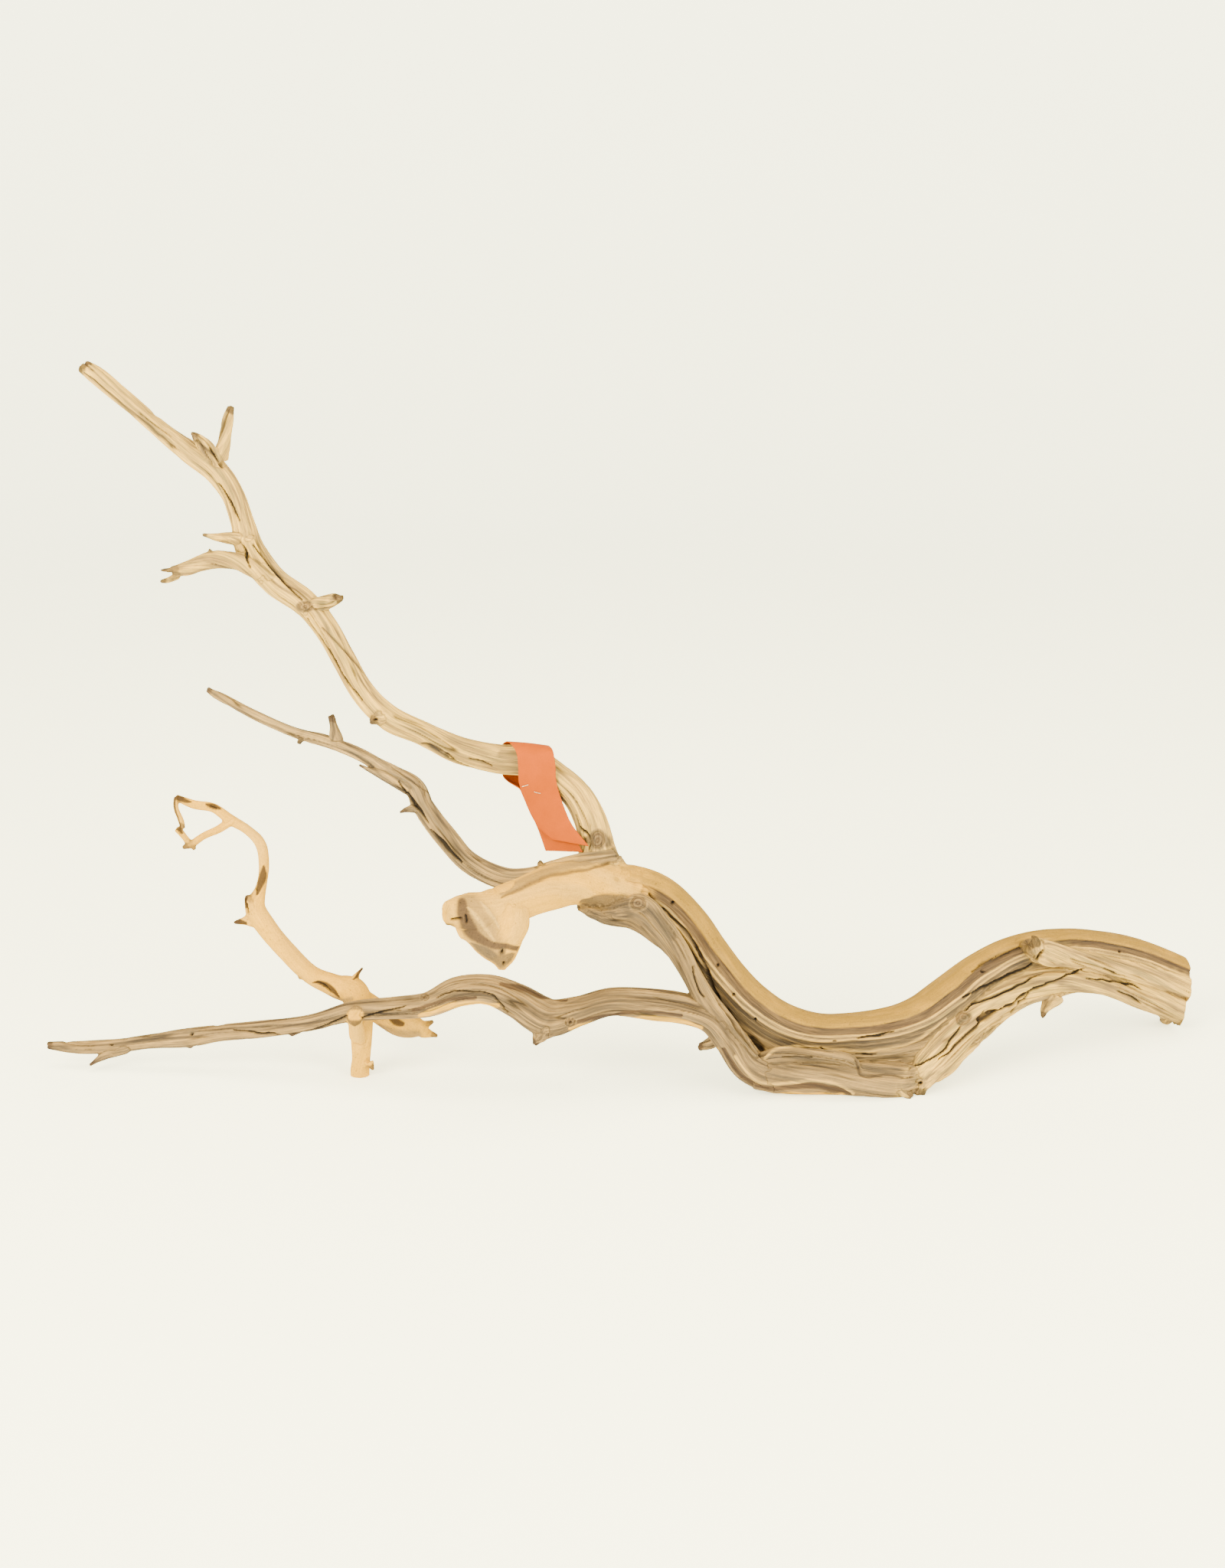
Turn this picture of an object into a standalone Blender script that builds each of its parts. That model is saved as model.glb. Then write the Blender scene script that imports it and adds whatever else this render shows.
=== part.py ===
"""Ghost wood: one dry, sand-blasted branch piece with a plain card band on its upper limb.

+X runs to the right along the trunk, +Z is up, and the front of the piece faces -Y.
Every limb is a list of stations along its middle, in millimetres:
(x, y, z, half its height as seen from the front, half its depth from front to back).
Limbs, strands and stubs run into each other and are joined into one grown solid.
"""

import math

import bmesh
import bpy
import numpy as np
from mathutils import Vector

# Driving dimensions
MM = 0.001
GROWN_TRIANGLES = 11000      # faces kept on the grown solid
JOIN_VOXEL = 1.4             # mm, fineness at which limbs grow together
STATION_SPACING = 3.0        # mm between rings along a limb
CURVE_READS = 24             # points read between two stations before they are spaced evenly
TRUNK_SIDES = 72             # faces round the trunk
LIMB_SIDES = 40
STRAND_SIDES = 32
TWIG_SIDES = 28
STUB_SIDES = 16
RELAX_FACTOR = 0.5
RELAX_STEPS = 3              # smoothing passes that round the joints
SHARP_ANGLE = math.radians(50)
FRONT = np.array([0.0, -0.97, 0.242])   # the side that shows: forward and a little up
TRIM_REACH = 1200.0          # mm, width of the blocks that trim the grown solid
TRIM_DEPTH = 60.0            # mm, their depth
GROUND_FACE = ((0.0, 0.0, 0.0), (0.0, 0.0, -1.0))           # a point and the way out, mm
BROKEN_END = ((417.5, 60.0, 28.5), (0.98, 0.12, -0.05))
CENTRE_SHIFT = (-11.9, 20.3)  # mm in x and y, brings the footprint's middle to the origin

# The trunk's front face: (distance from its outer edge in mm, part of the full depth)
FACE_STEPS = (
    (0.0, 1.00), (13.0, 1.00), (16.0, 0.76), (20.0, 0.68), (22.0, 0.76), (24.0, 0.68),
    (26.0, 0.72), (29.0, 0.54), (37.0, 0.42), (45.0, 0.46), (60.0, 0.70),
)

TRUNK = (
    (430, 66, 24, 23.5, 21), (379, 48, 50, 23.0, 23), (342, 32, 63, 22.0, 24),
    (311, 16, 66, 24.5, 25), (285, 2, 65, 25.0, 26), (262, -12, 58, 25.5, 27),
    (239, -28, 46, 27.0, 27), (217, -40, 37, 25.5, 27), (192, -46, 32, 23.0, 26),
    (163, -46, 29, 21.5, 25), (137, -45, 29, 21.5, 25), (111, -44, 38, 21.0, 25),
    (90, -42, 54, 20.0, 25), (75, -40, 72, 18.5, 25), (62, -38, 90, 18.0, 24),
    (49, -36, 109, 18.0, 24), (31, -36, 126, 19.0, 24), (13, -38, 135, 18.5, 24),
    (-5, -44, 139, 17.0, 21),
)
PALE_ARM = (
    (13, -38, 138, 15.5, 20), (-5, -44, 142, 15.5, 20), (-25, -54, 147, 15.0, 19),
    (-43, -68, 147, 15.0, 18), (-59, -84, 145, 14.0, 18), (-74, -97, 142, 14.0, 17),
    (-86, -106, 142, 12.5, 15), (-98, -112, 144, 11.0, 12), (-107, -116, 145, 7.5, 9),
)
KNUCKLE = (
    (-80, -94, 149, 20.0, 14), (-80, -99, 140, 24.0, 17), (-76, -103, 130, 23.0, 16),
    (-74, -106, 121, 17.0, 13), (-72, -108, 111, 9.0, 9), (-72, -110, 104, 2.2, 4),
)
UPPER_LIMB = (
    (-7, -34, 147, 18.5, 18), (-9, -30, 157, 14.0, 15), (-11, -28, 169, 11.5, 13),
    (-15, -24, 183, 10.5, 12), (-24, -18, 198, 10.0, 11), (-38, -12, 209, 10.0, 11),
    (-58, -6, 219, 10.0, 11), (-79, 2, 219, 9.5, 10.5), (-106, 8, 224, 9.0, 10),
    (-132, 14, 235, 8.0, 9), (-155, 20, 244, 8.5, 9.5), (-173, 25, 261, 8.5, 9.5),
    (-186, 30, 283, 8.5, 9.5), (-199, 34, 306, 8.5, 9.5), (-214, 38, 322, 9.0, 10),
    (-234, 42, 335, 9.5, 10.5), (-250, 46, 355, 10.0, 11), (-256, 49, 375, 8.0, 9.5),
    (-262, 51, 394, 7.5, 9), (-273, 53, 410, 8.0, 9), (-291, 56, 423, 7.5, 8.5),
    (-311, 59, 438, 6.0, 7), (-334, 63, 457, 5.5, 6.5), (-354, 66, 474, 5.5, 6.5),
    (-364, 68, 481, 4.5, 5),
)
MIDDLE_LIMB = (
    (0, -38, 160, 5.2, 9), (-22, -48, 158, 6.5, 9), (-40, -54, 156, 5.4, 9),
    (-56, -56, 151, 6.0, 9), (-75, -50, 149, 7.0, 8), (-97, -36, 156, 7.0, 8.5),
    (-114, -20, 170, 7.5, 8.5), (-129, -6, 186, 7.5, 8.5), (-137, 2, 199, 7.5, 8),
    (-153, 8, 207, 6.5, 7.5), (-175, 14, 219, 4.5, 6), (-197, 18, 227, 4.0, 5),
    (-221, 22, 233, 3.5, 4), (-250, 26, 245, 3.2, 3.6), (-273, 29, 257, 2.9, 3.4),
    (-282, 30, 262, 2.0, 2.2),
)
LOW_LIMB = (
    (137, -54, 9, 12.5, 17), (111, -59, 11, 11.5, 17), (93, -62, 20, 11.5, 16),
    (80, -64, 39, 10.5, 15), (67, -65, 54, 9.5, 14), (51, -65, 61, 10.0, 14),
    (29, -64, 64, 10.5, 13), (0, -64, 66, 9.5, 12), (-23, -63, 59, 10.0, 12),
    (-44, -62, 54, 13.0, 12), (-64, -61, 65, 11.5, 12), (-83, -60, 73, 10.0, 11.5),
    (-104, -58, 71, 10.0, 11), (-125, -56, 61, 8.5, 10.5), (-149, -53, 57, 7.5, 9.5),
    (-178, -48, 53, 7.0, 8.5), (-207, -42, 43, 5.8, 7), (-244, -34, 35, 6.0, 7),
    (-272, -28, 30, 5.6, 6.5), (-296, -24, 25, 6.5, 7.5), (-324, -21, 21, 5.1, 6),
    (-346, -19, 17, 4.8, 5.5), (-368, -17, 15, 4.6, 5), (-382, -16, 15, 4.0, 4),
    (-397, -15, 16, 2.7, 2.5),
)
CROSSING_LIMB = (
    (-174, -28, 36, 8.0, 9), (-179, -22, 57, 10.0, 11), (-193, -20, 62, 8.0, 9),
    (-210, -18, 70, 6.5, 7), (-226, -14, 85, 6.5, 7), (-240, -10, 101, 7.0, 7.5),
    (-248, -7, 114, 7.0, 7), (-244, -5, 129, 4.0, 4.4), (-242, -3, 144, 3.6, 4),
    (-244, -1, 159, 3.7, 4), (-253, 0, 169, 3.4, 3.8), (-264, 0, 176, 3.7, 3.8),
    (-275, -2, 185, 3.3, 3.4), (-287, -5, 188, 3.1, 3.1), (-295, -8, 192, 2.6, 2.6),
    (-299, -10, 195, 1.9, 2),
)
LEG = (
    (-174, -30, 44, 8.0, 8.5), (-174, -32, 31, 7.5, 8), (-175, -31, 14, 6.5, 7),
    (-176, -30, 4, 6.5, 6.8), (-176, -30, -5, 6.5, 6.8),
)
HEEL = (
    (-177, -22, 54, 7.5, 9), (-165, -19, 44, 8.0, 9), (-150, -15, 33, 9.0, 10),
    (-138, -11, 28, 7.0, 8), (-132, -9, 25, 4.3, 5),
)

# Gnarled and inner strands that lie along the trunk
TRUNK_STRANDS = (
    ((430, 65, 12, 11.5, 12), (388, 47, 32, 10.5, 12), (352, 30, 48, 9.5, 12),
     (318, 12, 57, 10.5, 12), (287, -8, 57, 10.5, 12), (262, -24, 50, 11.0, 13),
     (240, -40, 38, 12.0, 13), (222, -53, 22, 12.0, 13), (209, -60, 8, 9.0, 10),
     (205, -63, -1, 4.5, 6)),
    ((430, 56, 31, 7.5, 10), (385, 37, 51, 7.0, 10), (349, 20, 64, 7.0, 10),
     (321, 6, 74, 7.5, 10), (299, -8, 83, 8.5, 11), (289, -12, 89, 4.8, 7)),
    ((295, 2, 51, 7.5, 10), (268, -16, 40, 7.5, 11), (243, -32, 24, 8.0, 12),
     (226, -44, 11, 7.0, 11), (212, -54, 5, 4.7, 8)),
    ((97, -62, 15, 11.5, 14), (120, -64, 13, 11.5, 14), (146, -64, 12, 12.0, 14),
     (172, -64, 10, 12.0, 14), (196, -62, 9, 11.5, 13), (212, -56, 11, 7.3, 9)),
    ((408, 66, 16, 8.0, 10), (412, 74, 6, 6.0, 7), (413, 79, -3, 4.5, 5)),
    ((99, -64, 24, 4.7, 8), (114, -66, 28, 5.2, 8), (135, -66, 28, 4.7, 8),
     (159, -66, 25, 4.2, 7), (168, -66, 18, 3.1, 6)),
    ((-5, -52, 126, 5.2, 9), (17, -58, 131, 8.7, 11), (32, -60, 118, 7.7, 11),
     (44, -62, 102, 7.2, 11), (53, -64, 86, 6.7, 11), (63, -66, 68, 7.2, 11),
     (78, -68, 50, 6.2, 10), (96, -68, 29, 3.6, 7)),
    ((-23, -52, 130, 3.1, 8), (-5, -50, 124, 6.2, 12), (16, -48, 120, 8.3, 13),
     (34, -48, 106, 7.3, 13)),
)

# Stubs, thorns, spurs and broken flakes
STUBS = (
    # right stub, left stub, forked left stub and its prongs and bump on the upper limb
    ((-209, 34, 319, 5.8, 7), (-199, 32, 322, 5.3, 6), (-191, 30, 325, 4.2, 4.5),
     (-186, 28, 327, 1.6, 2)),
    ((-253, 44, 364, 5.3, 7), (-264, 40, 366, 4.0, 5), (-272, 36, 367, 2.6, 3),
     (-281, 34, 369, 1.3, 1.4)),
    ((-237, 40, 340, 7.4, 8), (-256, 36, 350, 6.3, 7.5), (-274, 32, 352, 6.3, 7),
     (-291, 28, 347, 5.0, 5), (-301, 26, 345, 3.9, 4)),
    ((-298, 27, 346, 2.1, 2.4), (-305, 26, 346, 1.6, 1.8), (-309, 25, 346, 1.0, 1.1)),
    ((-297, 26, 342, 2.6, 2.6), (-304, 25, 339, 1.9, 2), (-309, 24, 338, 1.1, 1.2)),
    ((-275, 31, 356, 2.1, 2.5), (-276, 30, 360, 1.0, 1.2)),
    # up stub, torn flap and lower spur of the upper limb
    ((-270, 52, 419, 5.3, 6), (-266, 50, 433, 4.5, 5), (-263, 48, 445, 3.7, 4),
     (-260, 46, 455, 2.3, 2.6)),
    ((-270, 48, 417, 3.7, 3.5), (-277, 44, 427, 5.2, 3), (-283, 42, 434, 3.7, 2.2),
     (-287, 41, 438, 1.3, 1.2)),
    ((-160, 14, 245, 4.8, 5), (-167, 11, 243, 2.1, 2.4)),
    # up stub, hook twig, torn flake, knob and nub of the middle limb
    ((-191, 17, 228, 4.8, 4.5), (-193, 16, 238, 2.9, 3), (-194, 14, 246, 2.4, 2.5)),
    ((-132, -6, 186, 4.2, 5), (-139, -9, 186, 2.6, 3), (-146, -11, 184, 1.0, 1.2)),
    ((-140, -3, 198, 4.2, 4), (-152, 0, 204, 3.7, 3.5), (-164, 3, 209, 2.6, 2.5),
     (-175, 5, 214, 1.1, 1.2)),
    ((-215, 20, 230, 2.1, 3), (-218, 19, 226, 1.2, 1.6)),
    ((-48, -58, 159, 2.6, 3.5), (-49, -60, 163, 1.4, 2)),
    # spike, two spurs, fork and broken stub of the low limb
    ((-44, -64, 51, 12.4, 10), (-49, -66, 43, 5.7, 6), (-53, -67, 36, 1.6, 2)),
    ((-294, -25, 22, 4.3, 4), (-295, -26, 18, 1.4, 1.5)),
    ((-218, -39, 38, 4.8, 5), (-222, -41, 33, 1.5, 1.8)),
    ((-340, -21, 17, 4.8, 4.5), (-354, -22, 12, 3.5, 3.2), (-366, -25, 5, 1.3, 1.4)),
    ((76, -52, 41, 4.7, 7), (68, -46, 30, 4.2, 6), (60, -42, 25, 2.6, 4)),
    # top stub, thorn, lobe and nub of the crossing limb
    ((-180, -22, 65, 4.3, 5), (-177, -22, 71, 1.8, 2.2), (-173, -22, 76, 1.0, 1.2)),
    ((-249, -8, 107, 6.4, 5), (-256, -10, 106, 2.7, 3), (-263, -11, 105, 1.0, 1.1)),
    ((-250, -8, 111, 4.8, 5), (-252, -9, 121, 3.5, 3.6), (-252, -9, 124, 2.4, 2.6)),
    ((-214, -18, 70, 2.7, 3), (-218, -20, 67, 1.1, 1.2)),
    # cut knob and thorn of the leg, and the heel's two tips
    ((-176, -38, 32, 5.8, 6.5), (-176, -48, 45, 5.0, 7), (-175, -58, 54, 4.7, 6)),
    ((-169, -35, 11, 3.2, 3.5), (-166, -37, 6, 1.1, 1.2)),
    ((-134, -9, 24, 4.3, 5), (-123, -10, 21, 1.2, 1.4)),
    ((-134, -9, 28, 3.8, 5), (-126, -10, 32, 1.2, 1.4)),
    # twig loop at the end of the crossing limb
    ((-263, 0, 176, 3.4, 3.6), (-272, -3, 170, 2.8, 3), (-282, -6, 166, 2.4, 2.6),
     (-290, -9, 161, 2.5, 2.6), (-296, -11, 159, 1.4, 1.5)),
    ((-299, -10, 195, 1.7, 1.8), (-299, -11, 187, 1.9, 2), (-296, -12, 179, 2.1, 2.2),
     (-295, -12, 173, 1.8, 2)),
    ((-299, -12, 173, 2.6, 2.8), (-294, -11, 166, 2.2, 2.4), (-291, -9, 161, 2.6, 2.6)),
    ((-290, -9, 162, 2.1, 2.4), (-288, -9, 157, 1.4, 1.8)),
    # spur, nub, horn and feet of the trunk
    ((314, 8, 45, 6.5, 7), (308, 5, 37, 3.8, 4.5), (305, 3, 30, 1.2, 1.6)),
    ((387, 46, 31, 4.5, 6), (385, 44, 26, 2.0, 3)),
    ((295, -14, 88, 4.8, 7), (292, -17, 96, 1.9, 3)),
    ((198, -64, 13, 4.2, 6), (193, -70, 7, 3.6, 5), (203, -72, 0, 2.2, 3.5)),
    ((214, -60, 13, 4.7, 7), (210, -66, 0, 2.2, 3.5)),
    # hook twig of the broken knuckle
    ((-97, -111, 141, 3.5, 4), (-104, -117, 139, 2.4, 2.6), (-107, -119, 138, 1.2, 1.6)),
)

# The card band: left and right edge of the strip from its front tail's end, up over the
# limb and down behind it to its back tail's end, in millimetres
CARD_EDGES = (
    ((-41, -30, 170), (-16, -41, 168.5)), ((-51.5, -24, 179), (-27.5, -32, 181)),
    ((-59, -21, 193.5), (-34, -27, 195)), ((-63.5, -21.5, 208), (-38, -26, 209)),
    ((-64, -21, 218), (-38.5, -25.5, 220.5)), ((-65, -18, 227.5), (-40, -22, 229)),
    ((-69, -12, 232.5), (-41.5, -15, 230.5)), ((-73, -5, 233), (-44, -7, 230)),
    ((-76, 8, 229), (-47.5, 6, 220)), ((-77, 15, 217), (-50, 10, 208)),
    ((-76, 11, 205.5), (-50, 5, 194.5)), ((-70, -5, 203.5), (-44, -9, 189.5)),
    ((-63.5, -19.2, 203), (-38, -24, 191)), ((-58.5, -18.6, 191), (-33.5, -25.5, 185.5)),
    ((-52, -21, 177.5), (-28, -30, 177.5)), ((-45.5, -26, 161), (-20, -38, 163.5)),
)
CARD_THICKNESS = 0.6         # mm
CARD_STEP = 2.5              # mm between rows along the strip
STAPLES = ((-59.2, -23.3, 206.1, -0.3), (-50.9, -25.0, 201.6, 0.25))  # middle, then tilt
STAPLE_WIRE = 0.5            # mm
STAPLE_CROWN = 4.5           # mm

# Flutes of a limb: (how many round it, part of the radius, turns from end to end)
SMOOTH = (3, 0.03, 0.3)
FLUTED = (5, 0.09, 0.7)
GNARLED = (4, 0.16, 1.1)
MEAN_FLUTE = 0.6             # the flutes' mean height, taken off so that a limb keeps its size
SWELL_SHARE = 0.4            # depth of the slow swell, as a part of the flutes' depth
SWELL_TURN = 9.0             # radians the swell turns from end to end

# Looks: colour, then roughness
DRY_WOOD = ((0.62, 0.46, 0.29), 0.8)
ORANGE_CARD = ((0.95, 0.25, 0.06), 0.6)
STAPLE_STEEL = ((0.75, 0.75, 0.75), 0.3)


def clear_scene():
    for obj in list(bpy.data.objects):
        bpy.data.objects.remove(obj, do_unlink=True)


def material(name, colour, roughness):
    made = bpy.data.materials.new(name)
    made.use_nodes = True
    shader = made.node_tree.nodes["Principled BSDF"]
    shader.inputs["Base Color"].default_value = (*colour, 1.0)
    shader.inputs["Roughness"].default_value = roughness
    return made


def smooth_stations(points, spacing):
    """Catmull-Rom curve through the stations, read at an even spacing."""
    points = np.array(points, dtype=float)
    ends = np.vstack([2 * points[0] - points[1], points, 2 * points[-1] - points[-2]])
    ends[[0, -1], 3:] = points[[0, -1], 3:]
    dense = []
    for a, b, c, d in zip(ends[:-3], ends[1:-2], ends[2:-1], ends[3:]):
        for t in np.linspace(0.0, 1.0, CURVE_READS, endpoint=False):
            dense.append(0.5 * (2 * b + (c - a) * t + (2 * a - 5 * b + 4 * c - d) * t ** 2
                                + (3 * b - a - 3 * c + d) * t ** 3))
    dense.append(points[-1])
    dense = np.array(dense)
    steps = np.linalg.norm(np.diff(dense[:, :3], axis=0), axis=1)
    along = np.concatenate([[0.0], np.cumsum(steps)])
    count = max(4, int(along[-1] / spacing) + 1)
    wanted = np.linspace(0.0, along[-1], count)
    return np.column_stack([np.interp(wanted, along, dense[:, k]) for k in range(5)]), wanted


def ring_axes(centres):
    """Outward and front directions of every ring, square to the limb's run."""
    run = np.gradient(centres, axis=0)
    run /= np.linalg.norm(run, axis=1, keepdims=True)
    front = FRONT - run * (run @ FRONT)[:, None]
    front /= np.linalg.norm(front, axis=1, keepdims=True)
    return np.cross(run, front), front


def flute_scale(angles, share, flutes):
    count, depth, turns = flutes
    phase = angles[None, :] * count + 2 * math.pi * turns * share[:, None]
    swell = np.sin(2 * angles[None, :] + SWELL_TURN * share[:, None])
    return 1.0 + depth * (np.abs(np.sin(phase / 2)) - MEAN_FLUTE + SWELL_SHARE * swell)


def add_limb(mesh, points, flutes, sides, faced=False):
    """One closed tube through the stations; a faced limb gets the trunk's stepped front."""
    stations, along = smooth_stations(points, STATION_SPACING)
    outward, front = ring_axes(stations[:, :3])
    angles = np.linspace(0.0, 2 * math.pi, sides, endpoint=False)
    scale = flute_scale(angles, along / along[-1], flutes)
    high = stations[:, 3:4] * np.cos(angles) * scale
    deep = stations[:, 4:5] * np.sin(angles) * scale
    if faced:
        reach = stations[:, 3:4] * (1 - np.cos(angles))
        steps = np.interp(reach, *zip(*FACE_STEPS))
        deep = np.where(np.sin(angles) > 0, deep * steps, deep)
    rings = (stations[:, None, :3] + high[..., None] * outward[:, None]
             + deep[..., None] * front[:, None]) * MM
    rows = [[mesh.verts.new(point) for point in ring] for ring in rings]
    for lower, upper in zip(rows, rows[1:]):
        for k in range(sides):
            after = (k + 1) % sides
            mesh.faces.new((lower[k], lower[after], upper[after], upper[k]))
    mesh.faces.new(reversed(rows[0]))
    mesh.faces.new(rows[-1])


def evaluated_mesh(obj):
    bpy.context.view_layer.update()
    graph = bpy.context.evaluated_depsgraph_get()
    return bpy.data.meshes.new_from_object(obj.evaluated_get(graph))


def new_object(name, mesh):
    obj = bpy.data.objects.new(name, mesh)
    bpy.context.collection.objects.link(obj)
    return obj


def apply_modifiers(obj):
    done = evaluated_mesh(obj)
    obj.modifiers.clear()
    obj.data = done


def grow_together(obj):
    """Join the crossing tubes into one skin, round the joints, and thin the mesh."""
    join = obj.modifiers.new("join", "REMESH")
    join.mode = "VOXEL"
    join.voxel_size = JOIN_VOXEL * MM
    relax = obj.modifiers.new("relax", "SMOOTH")
    relax.factor = RELAX_FACTOR
    relax.iterations = RELAX_STEPS
    apply_modifiers(obj)
    triangles = sum(len(face.vertices) - 2 for face in obj.data.polygons)
    thin = obj.modifiers.new("thin", "DECIMATE")
    thin.ratio = GROWN_TRIANGLES / triangles
    thin.use_collapse_triangulate = True
    apply_modifiers(obj)


def trim(obj, face):
    """Cut away what lies beyond a flat face, given by a point and the way out."""
    point, way_out = (Vector(part) for part in face)
    cutter_mesh = bpy.data.meshes.new("trim_block")
    block = bmesh.new()
    bmesh.ops.create_cube(block, size=1.0)
    reach = TRIM_REACH * MM
    bmesh.ops.scale(block, vec=(reach, reach, TRIM_DEPTH * MM), verts=block.verts)
    bmesh.ops.translate(block, vec=(0.0, 0.0, TRIM_DEPTH * MM / 2), verts=block.verts)
    block.to_mesh(cutter_mesh)
    block.free()
    cutter = new_object("trim_block", cutter_mesh)
    cutter.rotation_euler = way_out.to_track_quat("Z", "Y").to_euler()
    cutter.location = point * MM
    cutter.hide_render = True
    cutter.display_type = "WIRE"
    cut = obj.modifiers.new("trim", "BOOLEAN")
    cut.operation = "DIFFERENCE"
    cut.object = cutter
    apply_modifiers(obj)
    bpy.data.objects.remove(cutter, do_unlink=True)


def make_wood():
    wood = bmesh.new()
    add_limb(wood, TRUNK, SMOOTH, TRUNK_SIDES, faced=True)
    add_limb(wood, PALE_ARM, SMOOTH, LIMB_SIDES)
    add_limb(wood, KNUCKLE, SMOOTH, LIMB_SIDES)
    add_limb(wood, UPPER_LIMB, FLUTED, LIMB_SIDES)
    add_limb(wood, MIDDLE_LIMB, FLUTED, STRAND_SIDES)
    add_limb(wood, LOW_LIMB, FLUTED, LIMB_SIDES)
    add_limb(wood, CROSSING_LIMB, SMOOTH, TWIG_SIDES)
    add_limb(wood, LEG, SMOOTH, TWIG_SIDES)
    add_limb(wood, HEEL, FLUTED, TWIG_SIDES)
    for strand in TRUNK_STRANDS:
        add_limb(wood, strand, GNARLED, STRAND_SIDES)
    for stub in STUBS:
        add_limb(wood, stub, SMOOTH, STUB_SIDES)
    bmesh.ops.recalc_face_normals(wood, faces=wood.faces)
    mesh = bpy.data.meshes.new("ghost_wood")
    wood.to_mesh(mesh)
    wood.free()
    obj = new_object("ghost_wood", mesh)
    grow_together(obj)
    trim(obj, BROKEN_END)
    trim(obj, GROUND_FACE)
    obj.data.name = "ghost_wood"
    obj.data.materials.clear()
    obj.data.materials.append(material("dry_wood", *DRY_WOOD))
    obj.data.shade_smooth()
    obj.data.set_sharp_from_angle(angle=SHARP_ANGLE)
    return obj


def curve_rows(points, spacing):
    """Catmull-Rom curve through rows of numbers, read evenly along the first three."""
    padded = [tuple(row) + (0.0,) * (5 - len(row)) for row in points]
    return smooth_stations(padded, spacing)[0][:, :3]


def make_card_band():
    """A strip of card bent over the upper limb, with its two tails together below."""
    middles = [tuple((a + b) / 2 for a, b in zip(*edges)) for edges in CARD_EDGES]
    centre = curve_rows(middles, CARD_STEP)
    share = np.linspace(0.0, 1.0, len(centre))
    knots = np.linspace(0.0, 1.0, len(CARD_EDGES))
    half = np.array([[(b - a) / 2 for a, b in zip(*edges)] for edges in CARD_EDGES])
    reach = np.column_stack([np.interp(share, knots, half[:, k]) for k in range(3)])
    strip = bmesh.new()
    rows = []
    for middle, side in zip(centre, reach):
        rows.append([strip.verts.new((middle + side * k) * MM) for k in (-1, 0, 1)])
    for lower, upper in zip(rows, rows[1:]):
        for k in range(2):
            strip.faces.new((lower[k], lower[k + 1], upper[k + 1], upper[k]))
    mesh = bpy.data.meshes.new("card_band")
    strip.to_mesh(mesh)
    strip.free()
    band = new_object("card_band", mesh)
    band.data.materials.append(material("orange_card", *ORANGE_CARD))
    solid = band.modifiers.new("thickness", "SOLIDIFY")
    solid.thickness = CARD_THICKNESS * MM
    solid.offset = 0.0
    return band


def make_staple(name, x, y, z, tilt):
    """The wire crown that shows on the front tail."""
    mesh = bpy.data.meshes.new(name)
    wire = bmesh.new()
    bmesh.ops.create_cube(wire, size=1.0)
    thick = STAPLE_WIRE * MM
    bmesh.ops.scale(wire, vec=(STAPLE_CROWN * MM, thick, thick), verts=wire.verts)
    bmesh.ops.bevel(wire, geom=wire.edges[:], offset=thick / 4, segments=1,
                    affect="EDGES")
    wire.to_mesh(mesh)
    wire.free()
    staple = new_object(name, mesh)
    staple.location = (x * MM, y * MM, z * MM)
    staple.rotation_euler = (0.0, tilt, 0.0)
    staple.data.materials.append(material("staple_steel", *STAPLE_STEEL))
    return staple


def centre_on_origin(objects):
    """Every list above is measured from the same place; this brings them to the origin."""
    for obj in objects:
        obj.location.x += CENTRE_SHIFT[0] * MM
        obj.location.y += CENTRE_SHIFT[1] * MM


clear_scene()
made = [make_wood(), make_card_band()]
for name, staple in zip(("staple_left", "staple_right"), STAPLES):
    made.append(make_staple(name, *staple))
centre_on_origin(made)
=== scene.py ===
"""The looks of the ghost wood: its limbs grown finely, carved and coloured, and its card band.

All lists are in millimetres and measured from the same place as the part's own lists.
Marks are placed where they show from the front, in the frame of the camera below.
"""

import math

import bpy
import numpy as np
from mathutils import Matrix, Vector


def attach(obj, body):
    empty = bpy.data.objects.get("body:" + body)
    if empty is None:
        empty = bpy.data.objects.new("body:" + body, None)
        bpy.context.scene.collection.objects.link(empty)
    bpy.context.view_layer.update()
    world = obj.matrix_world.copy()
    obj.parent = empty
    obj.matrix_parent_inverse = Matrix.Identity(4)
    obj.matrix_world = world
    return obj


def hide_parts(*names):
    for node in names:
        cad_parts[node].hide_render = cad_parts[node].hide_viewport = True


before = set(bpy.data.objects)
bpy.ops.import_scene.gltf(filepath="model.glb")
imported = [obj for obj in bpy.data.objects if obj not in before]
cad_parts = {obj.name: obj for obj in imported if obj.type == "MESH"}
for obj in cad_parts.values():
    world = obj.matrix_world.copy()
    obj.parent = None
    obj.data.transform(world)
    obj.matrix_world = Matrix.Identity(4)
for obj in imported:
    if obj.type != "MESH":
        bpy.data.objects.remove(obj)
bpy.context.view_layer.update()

# Sizes
MM = 0.001
JOIN_VOXEL = 0.8   # mm, fineness of the grown skin
RING_SPACING = 1.5           # mm between rings along a limb
LINE_STEP = 1.0              # mm between the places where a limb's middle is read
CENTRE_SHIFT = np.array([-11.9, 20.3, 0.0])
FRONT = np.array([0.0, -0.97, 0.242])   # the side that shows: forward and a little up
BROKEN_END = ((417.5, 60.0, 28.5), (0.98, 0.12, -0.05))     # a point and the way out

# Camera, which is also the frame that the marks are placed in
VIEW_TARGET = np.array([0.0, 0.0, 201.5])
VIEW_DISTANCE = 1500.0
VIEW_ELEVATION = math.radians(14)
LENS = 50.0
SENSOR = 36.0
FRAME_SIZE = (1600, 2048)

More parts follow.
